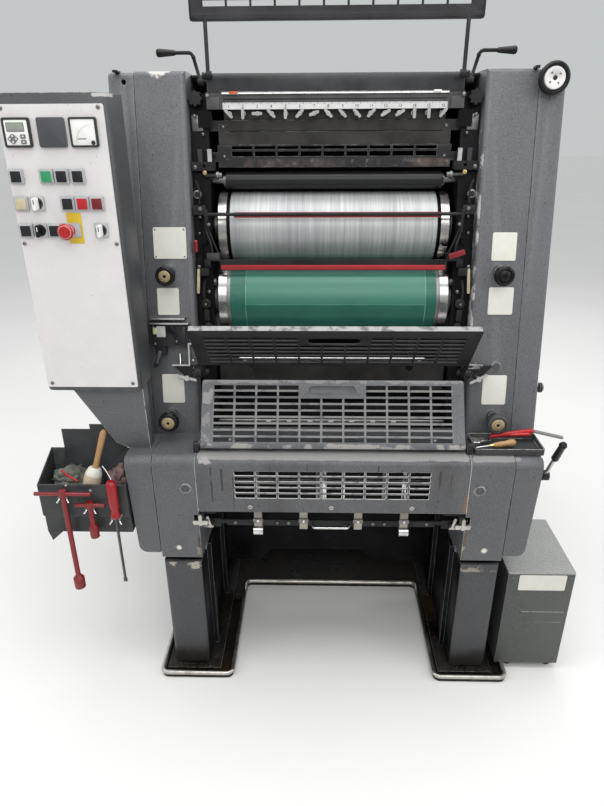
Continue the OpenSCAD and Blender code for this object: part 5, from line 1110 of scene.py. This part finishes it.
def make_handwheel():
    x, y, z = HANDWHEEL
    dress("handwheel", ["rubber", "dull_steel", "white"], lambda m, n: (
        "dull_steel" if m.y > y + 14.5 else
        "white" if m.y < y + 5 and math.hypot(m.x - x, m.z - z) < 23.4 else "rubber"), 0, merged=False)
    hub = Piece("handwheel_hub", "dark")
    hub.turned(facing(x, y + 1.8, z), [(4.8, 0), (4.8, 1.2), (4.0, 2.0), (0, 2.2)], 20)
    hub.done("handwheel_body", "grips")
    screws("handwheel_screws", [facing(x + 13 * math.cos(a), y + 0.1, z + 13 * math.sin(a))
                                for a in map(math.radians, (40, 130, 220, 310))], 2.2, 1.2,
           body="handwheel_body")


def make_levers():
    for node in ("lever_left", "lever_right"):
        dress(node, ["rubber", "black_worn", "black"], lambda m, n: (
            "rubber" if abs(m.x) > 365.5 else "black" if m.z < 1522 else "black_worn"), 0)
    dress("side_lever", ["rubber", "bright", "black"], lambda m, n: (
        "rubber" if (m.z - 626) * 0.866 - (m.y - 77) * 0.5 > 72 else
        "black" if math.hypot(m.y - 77, m.z - 626) < 15 else "bright"), 0)


def make_switch():
    def rule(m, n):
        out = (tower_y(m.z) - m.y) * math.cos(LEAN)
        if m.x < -376 and m.z > 970:
            return "bright"
        if (m.x < -355 and m.z > 908) or (m.x < -404 and m.z < 912):
            return "black_plastic"
        if (out > 10.5 and m.z < 856) or (-400 < m.x < -330 and m.z > 864):
            return "bright"
        return "black"

    dress("safety_switch", ["black", "black_plastic", "bright", "dull_steel", "dark_edge"], rule, 0.6, 1)
    parts = Piece("switch_label", "label_grey")
    parts.slab(on_tower(-424, 950.5, 26), 22, 27, 1.5, 0.8, 0.3)
    parts.use("switch_tab").slab(on_tower(-439, 952, 24), 10, 16, 1.5, 3, 0.5)
    parts.use("black_plastic").slab(on_tower(-376, 940, 22), 28, 46, 3, 7, 1.0)
    parts.turned(on_tower(-440, 921, 26), [(3.5, 0), (3.5, 1.4), (0, 1.8)], 14)
    parts.use("bright").turned(on_tower(-348, 880, 10), [(4, 0), (4, 10), (3, 12), (0, 12.5)], 14)
    parts.done()
    heads = [on_tower(-443, 962, 26), on_tower(-440, 921, 27.5), on_tower(-386, 927, 29), on_tower(-366, 960, 29)]
    heads += [on_tower(s * x, z, 8.2) for s in (-1, 1) for x, z in ((358, 872), (372, 868), (350, 858))]
    screws("switch_screws", heads, 2.8, 1.6)
    # pins and a pale rubbed pad beside the right wing screw
    pad = Piece("bracket_pad", "dull_steel")
    pad.rod(at(330, 183, 876), at(372, 183, 874), 3.2)
    pad.rod(at(336, 183, 866), at(366, 183, 868), 2.6)
    pad.use("cream").slab(on_tower(360, 866, 8), 18, 7, 1.5, 3, 0.6)
    pad.done()


# ---------------------------------------------------------------- control cabinet


def make_cabinet():
    dress("control_cabinet", ["cabinet_paint", "dark_edge"], None, 1.2)
    dress("cabinet_support", ["paint", "paint_edge"], None, 1.2)
    dress("control_panel", ["white", "panel_edge"], None, 0.6, 1)
    screws("panel_screws", [on_panel(a, d) for a, d in ((9, 7), (202, 6), (7, 267), (205, 268), (11, 588), (201, 588))],
           4.2, 2.4)


def make_instruments():
    dress("instruments", ["print", "grey_plastic", "print"], lambda m, n: (
        "grey_plastic" if abs(m.x + 564) < 28 else "print"), 0.4, 1)
    counter = Piece("counter_face", "white_plastic")
    counter.slab(on_panel(35.5, 51, 5), 46, 46, 2, 1.2, 0.4)
    counter.use("display").slab(on_panel(34, 41, 6.3), 33, 14, 0.5, 0.6, 0.2)
    counter.use("grey_plastic").slab(on_panel(34, 41, 6), 36, 17, 1.5, 0.5, 0.2)
    half = [(-11, 0), (-8, -3), (-3, -8), (0, -9.5), (3, -8), (8, -3)]
    pad = half + [(-x, -y) for x, y in half]
    counter.prism(on_panel(26, 62.5, 6.1), pad, 0, 1.0)
    for dy in (-4.5, 5.5):
        counter.use("grey_plastic").slab(on_panel(47, 62.5 + dy, 6.1), 11, 8, 1.5, 1.0, 0.3)
        counter.use("white").slab(on_panel(47, 62.5 + dy, 7.0), 3.4, 2.6, 0.6, 0.4, 0.15)
    for dx, dy in ((-6.2, 0), (6.2, 0), (0, 5.4), (0, -5.4)):
        counter.slab(on_panel(26 + dx, 62.5 + dy, 7.0), 3.4, 3.4, 1.2, 0.5, 0.2)
    counter.done(slot="instrument_black")
    dial = Piece("dial_face", "white_plastic")
    dial.slab(on_panel(168.5, 51, 5), 48, 48, 1, 1.0, 0.3)
    dial.use("print").slab(on_panel(164, 63, 6), 17, 1.6, 0.3, 0.2, 0.05)
    dial.turned(on_panel(186, 70, 6), [(4.2, 0), (4.2, 1.2), (3.6, 1.6), (0, 1.7)], 20)
    dial.done(slot="instrument_black")
    ticks = grown("rings", where=on_panel(186, 70, 6.1), count=13, radius=33, start=math.radians(92),
                  sweep=math.radians(86), length=0.3, width=0.8, depth=3.4, finish="print")
    settle("dial_ticks", [ticks])
    Piece("blank_square_face", "charcoal").slab(on_panel(105, 51, 7), 53, 53, 3, 1.2, 0.6).done(slot="instrument_black")


# button caps as (down, (across, finish), ...) from the panel's outer top corner
CAPS = ((132, (18, "black_plastic"), (80, "green_lamp"), (111, "black_plastic"), (144, "black_plastic")),
        (185, (18, "cream_disc"), (115, "black_plastic"), (145.5, "red"), (176, "dark_red")),
        (239, (18, "black_plastic"), (79, "black_plastic")))
STOP = (110, 239)
SELECTORS = ((51, 185, "white_plastic"), (48.5, 239, "rubber"), (177, 239, "white_plastic"))


def make_buttons():
    def rule(m, n):
        across, down, out = m.x - PANEL_LEFT, PANEL_TOP - m.z, PANEL_FACE - m.y
        near = math.hypot(across - STOP[0], down - STOP[1]) < 18 and abs(across - 79) >= 15
        return "red" if near and out > 3.9 else "bezel"

    dress("push_buttons", ["bezel", "red", "bezel"], rule, 0.5, 1)
    caps = Piece("button_caps")
    for down, *row in CAPS:
        for across, finish in row:
            caps.use(finish).slab(on_panel(across + 0.9, down + 0.8, 8.6), 21.6, 21.6, 1.6, 1.8)
    caps.use("red").turned(on_panel(*STOP, 33.6), [(9, 0), (9, 0.8), (7.8, 0.9), (7.4, 0.3), (0, 0.3)], 28)
    caps.done(slot="button_plastic")
    surround = Piece("switch_surrounds", "yellow")
    surround.slab(on_panel(121.5, 235.5), 31, 63, 1, 0.8, 0.3)
    surround.use("bezel").slab(on_panel(STOP[0] + 4.5, STOP[1], 0.2), 38, 29, 3, 4.6)
    for k, (across, down, finish) in enumerate(SELECTORS, 1):
        surround.slab(on_panel(across, down, 0.2), 29, 29, 3, 4.6)
        dress(f"selector_{k}", [finish, "ring_black", finish], lambda m, n: (
            "ring_black" if m.y > PANEL_FACE - 6.6 else finish), 0.8)
        mark = Piece(f"selector_{k}_mark", "white_plastic" if finish == "rubber" else "print")
        mark.slab(on_panel(across, down - 4, 22), 1.8, 9, 0.6, 0.5, 0.2)
        mark.done(f"selector_{k}_body", "grips" if finish == "rubber" else "white_plastic")
    surround.done(slot="instrument_black")


# ---------------------------------------------------------------- delivery, pump, tools


def make_delivery():
    dress("delivery_bar", ["dark", "bright", "dull_steel", "dark_edge"], lambda m, n: (
        "bright" if m.y < BAR_FRONT - 0.5 and abs(m.x) < 60 or abs(m.x) > 318 and m.y < 120 else
        "dull_steel" if m.y > 200 else "dark"), 0.6, 1)
    dress("sheet_strips", ["strip_metal", "bright", "strip_metal"], lambda m, n: (
        "bright" if abs(m.x) > 150 and m.z < 462 else "strip_metal"), 0.4, 1)
    fittings = Piece("strip_clamps")
    for x in (-190, -71, 71, 190):
        fittings.use("dull_steel").slab(facing(x, BAR_FRONT - 2, 478), 26, 12, 2, 4)
        fittings.use("bright").turned(facing(x, BAR_FRONT - 6, 478), [(4, 0), (4, 3), (3, 4), (0, 4)], 14)
    for s in (-1, 1):
        fittings.use("rim").slab(facing(s * 324, BAR_FRONT - 4, 461), 34, 7, 2, 6, 1.0)
        fittings.use("cream").slab(facing(s * 318, BAR_FRONT - 8, 476, s * -14), 7, 34, 2, 4)
        fittings.use("bright").turned(facing(s * 330, BAR_FRONT - 8, 470), [(5, 0), (5, 4), (3, 6), (0, 6)], 18)
    fittings.done(slot="dark_metal")
    screws("bar_screws", [facing(x, BAR_FRONT - 0.2, 467.5) for x in (-250, -140, -110, 110, 140, 250)], 4.4, 2.6)


def make_pump():
    dress("pump_cabinet", ["pump_paint", "pump_lid", "rubber", "paint_edge"], lambda m, n: (
        "pump_lid" if m.z > 336.5 else "rubber" if m.z < 21.5 and abs(n.z) < 0.9 else "pump_paint"), 1.4)
    screws("pump_screws", [facing(x, 54, z) for z in (30, 326) for x in (482, 635)], 3.0, 1.4)


def make_rag(name, x, y, z, w, d, h, finish, steps=56, rows=26):
    rings = []
    for j in range(rows + 1):
        b = math.pi * (0.02 + 0.96 * j / rows)
        ring = []
        for k in range(steps):
            a = math.tau * k / steps
            way = Vector((math.sin(b) * math.cos(a), math.sin(b) * math.sin(a), -math.cos(b)))
            spot = Vector((way.x * w / d, way.y, way.z * 1.4)) * 1.5 + Vector((x, y, z)) * 0.1
            fold = 0.72 + 0.75 * noise.turbulence(spot, 3, True, noise_basis="PERLIN_ORIGINAL")
            ring.append((w / 2 * way.x * fold, d / 2 * way.y * fold, h / 2 * way.z * fold))
        rings.append(ring)
    Piece(name, finish).stack(upright(x, y, z), rings).done(slot="dark_metal", sharp=70.0)


def make_tools():
    dress("tool_box", ["dark_sheet", "dull_steel", "sheet_edge"], lambda m, n: (
        "dull_steel" if m.y < 29.5 else "dark_sheet"), 0.6, 1)
    dress("tool_keys", ["red_paint", "blade", "handle_red"], lambda m, n: (
        "blade" if abs(m.x + 537) < 6 and m.z < 529 else "handle_red" if abs(m.x + 537) < 14 else "red_paint"), 0.6, 1)
    # mallet, rags and small tools lying in the box
    mallet = Piece("mallet")
    turn = Vector((32, 15, 105)).to_track_quat("Z", "Y").to_matrix()
    head, grip = placed(-609, 70, 588, turn), placed(-594, 76, 634, turn)
    for finish, where, steps, profile in (
            ("pale_wood", head, 28, [(19, 0), (22, 3), (22.5, 20), (21, 33)]),
            ("cream", head, 28, [(21.2, 33), (21, 35), (16, 49), (11, 53), (0, 53)]),
            ("wood", grip, 18, [(6.5, 0), (7.6, 6), (7.0, 40), (8.0, 80), (7.6, 100), (4.5, 107), (0, 108)])):
        mallet.use(finish).turned(where, profile, steps)
    mallet.done(slot="red_tools")
    make_rag("rag_left", -664, 92, 597, 84, 70, 62, "rag_green")
    make_rag("rag_right", -541, 98, 596, 56, 62, 66, "rag_red")
    make_rag("rag_low", -622, 90, 545, 176, 80, 70, "rag_dark")
    bits = [tube([(-577, 80, 640), (-563, 70, 626), (-548, 58, 604)], 1.8, "bright"),
            tube([(-676, 66, 634), (-655, 58, 622), (-634, 52, 612)], 2.6, "red")]
    bits += [tube([(x + s * 0.5, 28, z + 4), (x + s * 0.7, 14, z - 2), (x + s * 1.15, 8, z - 10)], 2.3, "bright")
             for x, z in ((-660, 586), (-597, 555), (-537, 524)) for s in (-13, 13)]
    settle("box_small_tools", bits)
    screws("box_rivets", [facing(x, 30, z) for x, z in ((-655, 612), (-596, 600), (-537, 560))], 3.6, 1.4,
           "bright", "bright")


def make_tool_tray():
    dress("tool_tray", ["tray_sheet", "sheet_edge"], None, 0.6, 1)
    tools = Piece("tray_tools")
    # red-handled spanner lying across the tray's rim
    a, b = at(396, 128, 707), at(507, 141, 716)
    tools.use("red").rod(a, b, 6.2, 16, 3.0)
    tools.rod(a + Vector((0.004, 0.006, -0.001)), b + Vector((-0.012, -0.012, -0.004)), 4.6, 14, 2.0)
    tools.use("dull_steel").rod(b - Vector((0.004, 0, 0.0005)), at(586, 150, 692), 4.4, 14, 1.0)
    tools.use("bright").slab(upright(378, 118, 696, 20), 40, 14, 5, 6, 1.2)
    tools.turned(upright(358, 112, 694), [(11, 0), (12, 1), (12, 8), (10.5, 9.5), (4, 9.5)], 20)
    # wooden-handled screwdriver with a brass ferrule
    where = away(at(396, 92, 700), at(452, 102, 704))
    for finish, steps, profile in (
            ("wood", 18, [(4.5, 0), (6.5, 6), (7.5, 18), (6.6, 30), (8.6, 40), (9.6, 47), (7.6, 54), (4, 57),
                          (0, 57.5)]),
            ("brass", 16, [(3.6, -12), (4.4, -11), (4.8, 1), (0, 1)]),
            ("bright", 12, [(2.4, -44), (2.6, -40), (2.6, -11), (0, -11)])):
        tools.use(finish).turned(where, profile, steps)
    tools.done(slot="red_tools")


# ---------------------------------------------------------------- feeder end


def on_board(x, run, out):
    """Row-frame millimetres of a point above the sloping feed board, from its foot."""
    return x, BOARD_FOOT[0] + run, BOARD_FOOT[1] + BOARD_RISE * run + out


def make_feeder():
    dress("feeder_housings", ["paint", "paint_edge"], None, 1.4)
    dress("feeder_posts", ["paint", "paint_edge"], None, 1.2)
    dress("suction_head", ["dark", "rubber", "dark_edge"], lambda m, n: "rubber" if m.z < 1104 else "dark", 0.6)
    dress("pile_table", ["table_wood", "dark", "wood_edge"], lambda m, n: (
        "table_wood" if m.z > 409 else "dark"), 1.0)
    dress("feed_board", ["steel", "dark", "dark_edge"], lambda m, n: (
        "dark" if abs(m.x) > 281 else "steel"), 0.6, 1)
    slope = Matrix.Rotation(math.atan(BOARD_RISE), 3, "X")
    settle("feed_tapes", [grown("rows", where=placed(*on_board(k * 112, 260, -2.6), slope), count=1, pitch=1,
                                width=20, height=500, depth=1.0, finish="strap") for k in range(-2, 3)])
    wheels = Piece("feed_wheels")
    for x in (-168, -56, 56, 168):
        wheels.use("rubber").turned(sideways(*on_board(x, 220, 15)), [(12, -4), (14, -2.5), (14, 2.5), (12, 4)], 20)
        wheels.use("bright").slab(upright(*on_board(x, 238, 12)), 4, 40, 1, 3, 0.5)
    wheels.rod(at(*on_board(-300, 220, 15)), at(*on_board(300, 220, 15)), 4)
    wheels.done(slot="bare_steel")
    settle("suction_hoses", [tube([(s * 150, 1235, 1160), (s * 190, 1238, 1190), (s * 260, 1240, 1192),
                                   (s * 330, 1238, 1180), (s * 350, 1236, 1120)], 6, "rubber") for s in (-1, 1)])


# ---------------------------------------------------------------- stage


CAMERA_PLACE = (-0.037, -2.0923, 1.4117)
CAMERA_PITCH_YAW_ROLL = (0.4228, -0.0273, 0.0059)
CAMERA_FOCAL, PHOTO_HEIGHT = 610.34, 806


def camera_turn():
    pitch, yaw, roll = CAMERA_PITCH_YAW_ROLL
    ahead = Vector((math.sin(yaw) * math.cos(pitch), math.cos(yaw) * math.cos(pitch), -math.sin(pitch)))
    right = Vector((math.cos(yaw), -math.sin(yaw), 0.0))
    down = ahead.cross(right)
    c, s = math.cos(roll), math.sin(roll)
    return Matrix((c * right + s * down, s * right - c * down, -ahead)).transposed().to_4x4()


def add_lamp(name, place, aim, size, power):
    data = bpy.data.lights.new(name, "AREA")
    data.shape = "RECTANGLE"
    data.size, data.size_y = size
    data.energy = power
    light = linked(name, data)
    light.location = place
    light.rotation_euler = (Vector(aim) - Vector(place)).to_track_quat("-Z", "Y").to_euler()


def make_stage(scene, settings):
    bpy.ops.mesh.primitive_plane_add(size=60, location=(0, 3, 0))
    floor = bpy.context.object
    floor.name = "floor"
    f = Finish("floor_pale")
    tone = tuple(settings.floor_color)
    color = f.over(tint(tone, 0.97), f.noise(1.3, 4.0), 0.3, 0.7, tone)
    floor.data.materials.append(f.set(color=color, rough=0.6))
    for name, place, aim, size, share in (
            ("top_light", (0.0, -0.6, 3.3), (0, -0.1, 0.9), (2.6, 2.2), 1.0),
            ("front_light", (0.2, -3.2, 2.9), (0, 0, 0.9), (2.4, 1.4), 0.55),
            ("left_light", (-2.8, -1.4, 2.4), (0, -0.4, 0.8), (1.6, 1.6), 0.32),
            ("right_light", (2.8, -1.4, 2.2), (0, -0.4, 0.8), (1.6, 1.6), 0.32),
            ("back_light", (0.4, 3.0, 2.8), (0, 0, 1.0), (2.0, 1.6), 0.5)):
        add_lamp(name, place, aim, size, share * settings.key_power)
    world = bpy.data.worlds.new("studio")
    world.use_nodes = True
    tree = world.node_tree
    background = tree.nodes["Background"]
    background.inputs["Color"].default_value = (0.86, 0.88, 0.90, 1.0)
    background.inputs["Strength"].default_value = settings.room_level
    seen = tree.nodes.new("ShaderNodeBackground")
    seen.inputs["Color"].default_value = (*settings.backdrop_color, 1.0)
    rays = tree.nodes.new("ShaderNodeLightPath")
    choice = tree.nodes.new("ShaderNodeMixShader")
    tree.links.new(rays.outputs["Is Camera Ray"], choice.inputs[0])
    tree.links.new(background.outputs[0], choice.inputs[1])
    tree.links.new(seen.outputs[0], choice.inputs[2])
    tree.links.new(choice.outputs[0], tree.nodes["World Output"].inputs["Surface"])
    scene.world = world
    scene.view_settings.view_transform = "Standard"
    data = bpy.data.cameras.new("camera")
    data.sensor_fit = "AUTO"
    data.sensor_width = 36.0
    data.lens = CAMERA_FOCAL / PHOTO_HEIGHT * data.sensor_width
    camera = linked("camera", data)
    camera.matrix_world = Matrix.Translation(CAMERA_PLACE) @ camera_turn()
    scene.camera = camera


# ---------------------------------------------------------------- operators


class PRESS_PG_stage(bpy.types.PropertyGroup):
    """Paint, floor, light and room settings."""

    paint_color: bpy.props.FloatVectorProperty(name="Paint", description="Colour of the hammered machine paint",
                                               subtype="COLOR", size=3, default=(0.088, 0.091, 0.097))
    floor_color: bpy.props.FloatVectorProperty(name="Floor", description="Colour of the floor", subtype="COLOR",
                                               size=3, default=(0.78, 0.77, 0.75))
    backdrop_color: bpy.props.FloatVectorProperty(name="Backdrop", description="Colour seen behind the press",
                                                  subtype="COLOR", size=3, default=(0.555, 0.575, 0.575))
    key_power: bpy.props.FloatProperty(name="Key light", description="Power of the large top light",
                                       unit="POWER", default=64.0)
    room_level: bpy.props.FloatProperty(name="Room light", description="Strength of the even room light",
                                        default=0.78)


class PRESS_OT_finishes(bpy.types.Operator):
    """Makes the paints, metals and plastics, and the trees for repeated fittings"""

    bl_idname = "press.finishes"
    bl_label = "Finishes"

    def execute(self, context):
        make_finishes(context.scene.press_stage)
        TREES.update(screws=screw_tree(), rows=row_tree(), rings=ring_tree(), tubes=tube_tree())
        return {"FINISHED"}


class PRESS_OT_casings(bpy.types.Operator):
    """Dresses towers, boxes, hood, bases and tray"""

    bl_idname = "press.casings"
    bl_label = "Casings"

    def execute(self, context):
        make_towers()
        make_boxes()
        make_bases()
        make_tray()
        make_plates()
        return {"FINISHED"}


class PRESS_OT_guards(bpy.types.Operator):
    """Dresses the swing guards and the deck behind them"""

    bl_idname = "press.guards"
    bl_label = "Guards"

    def execute(self, context):
        make_guards()
        make_inner_deck()
        return {"FINISHED"}


class PRESS_OT_cylinders(bpy.types.Operator):
    """Dresses the cylinders, the roller and the gear beside them"""

    bl_idname = "press.cylinders"
    bl_label = "Cylinders"

    def execute(self, context):
        make_cylinders()
        make_mechanism()
        return {"FINISHED"}


class PRESS_OT_ink_unit(bpy.types.Operator):
    """Dresses the ink unit with its number scale and keys"""

    bl_idname = "press.ink_unit"
    bl_label = "Ink unit"

    def execute(self, context):
        make_ink_unit()
        return {"FINISHED"}


class PRESS_OT_controls(bpy.types.Operator):
    """Dresses knobs, levers, handwheel and safety switch"""

    bl_idname = "press.controls"
    bl_label = "Knobs and levers"

    def execute(self, context):
        make_knobs()
        make_handwheel()
        make_levers()
        make_switch()
        return {"FINISHED"}


class PRESS_OT_panel(bpy.types.Operator):
    """Dresses the control cabinet, its instruments and buttons"""

    bl_idname = "press.panel"
    bl_label = "Control panel"

    def execute(self, context):
        make_cabinet()
        make_instruments()
        make_buttons()
        return {"FINISHED"}


class PRESS_OT_delivery(bpy.types.Operator):
    """Dresses the delivery bar, the pump cabinet, the tool box and the tool tray"""

    bl_idname = "press.delivery"
    bl_label = "Delivery and tools"

    def execute(self, context):
        make_delivery()
        make_pump()
        make_tools()
        make_tool_tray()
        return {"FINISHED"}


class PRESS_OT_feeder(bpy.types.Operator):
    """Dresses the feeder end"""

    bl_idname = "press.feeder"
    bl_label = "Feeder"

    def execute(self, context):
        make_feeder()
        return {"FINISHED"}


class PRESS_OT_stage(bpy.types.Operator):
    """Adds the floor, the lights and the camera"""

    bl_idname = "press.stage"
    bl_label = "Stage"

    def execute(self, context):
        make_stage(context.scene, context.scene.press_stage)
        return {"FINISHED"}


class PRESS_PT_panel(bpy.types.Panel):
    """Lists the dressing steps"""

    bl_label = "Press dressing"
    bl_space_type = "VIEW_3D"
    bl_region_type = "UI"
    bl_category = "Press"

    def draw(self, context):
        settings = context.scene.press_stage
        for name in ("paint_color", "floor_color", "backdrop_color", "key_power", "room_level"):
            self.layout.prop(settings, name)
        for step in STEPS:
            self.layout.operator("press." + step)


STEPS = ("stage", "finishes", "casings", "guards", "cylinders", "ink_unit", "controls", "panel", "delivery", "feeder")
CLASSES = (PRESS_PG_stage, PRESS_OT_stage, PRESS_OT_finishes, PRESS_OT_casings, PRESS_OT_guards,
           PRESS_OT_cylinders, PRESS_OT_ink_unit, PRESS_OT_controls, PRESS_OT_panel, PRESS_OT_delivery,
           PRESS_OT_feeder, PRESS_PT_panel)


def register():
    for cls in CLASSES:
        bpy.utils.register_class(cls)
    bpy.types.Scene.press_stage = bpy.props.PointerProperty(type=PRESS_PG_stage)


def unregister():
    del bpy.types.Scene.press_stage
    for cls in reversed(CLASSES):
        bpy.utils.unregister_class(cls)


def main():
    register()
    for step in STEPS:
        getattr(bpy.ops.press, step)()


if __name__ == "__main__":
    main()
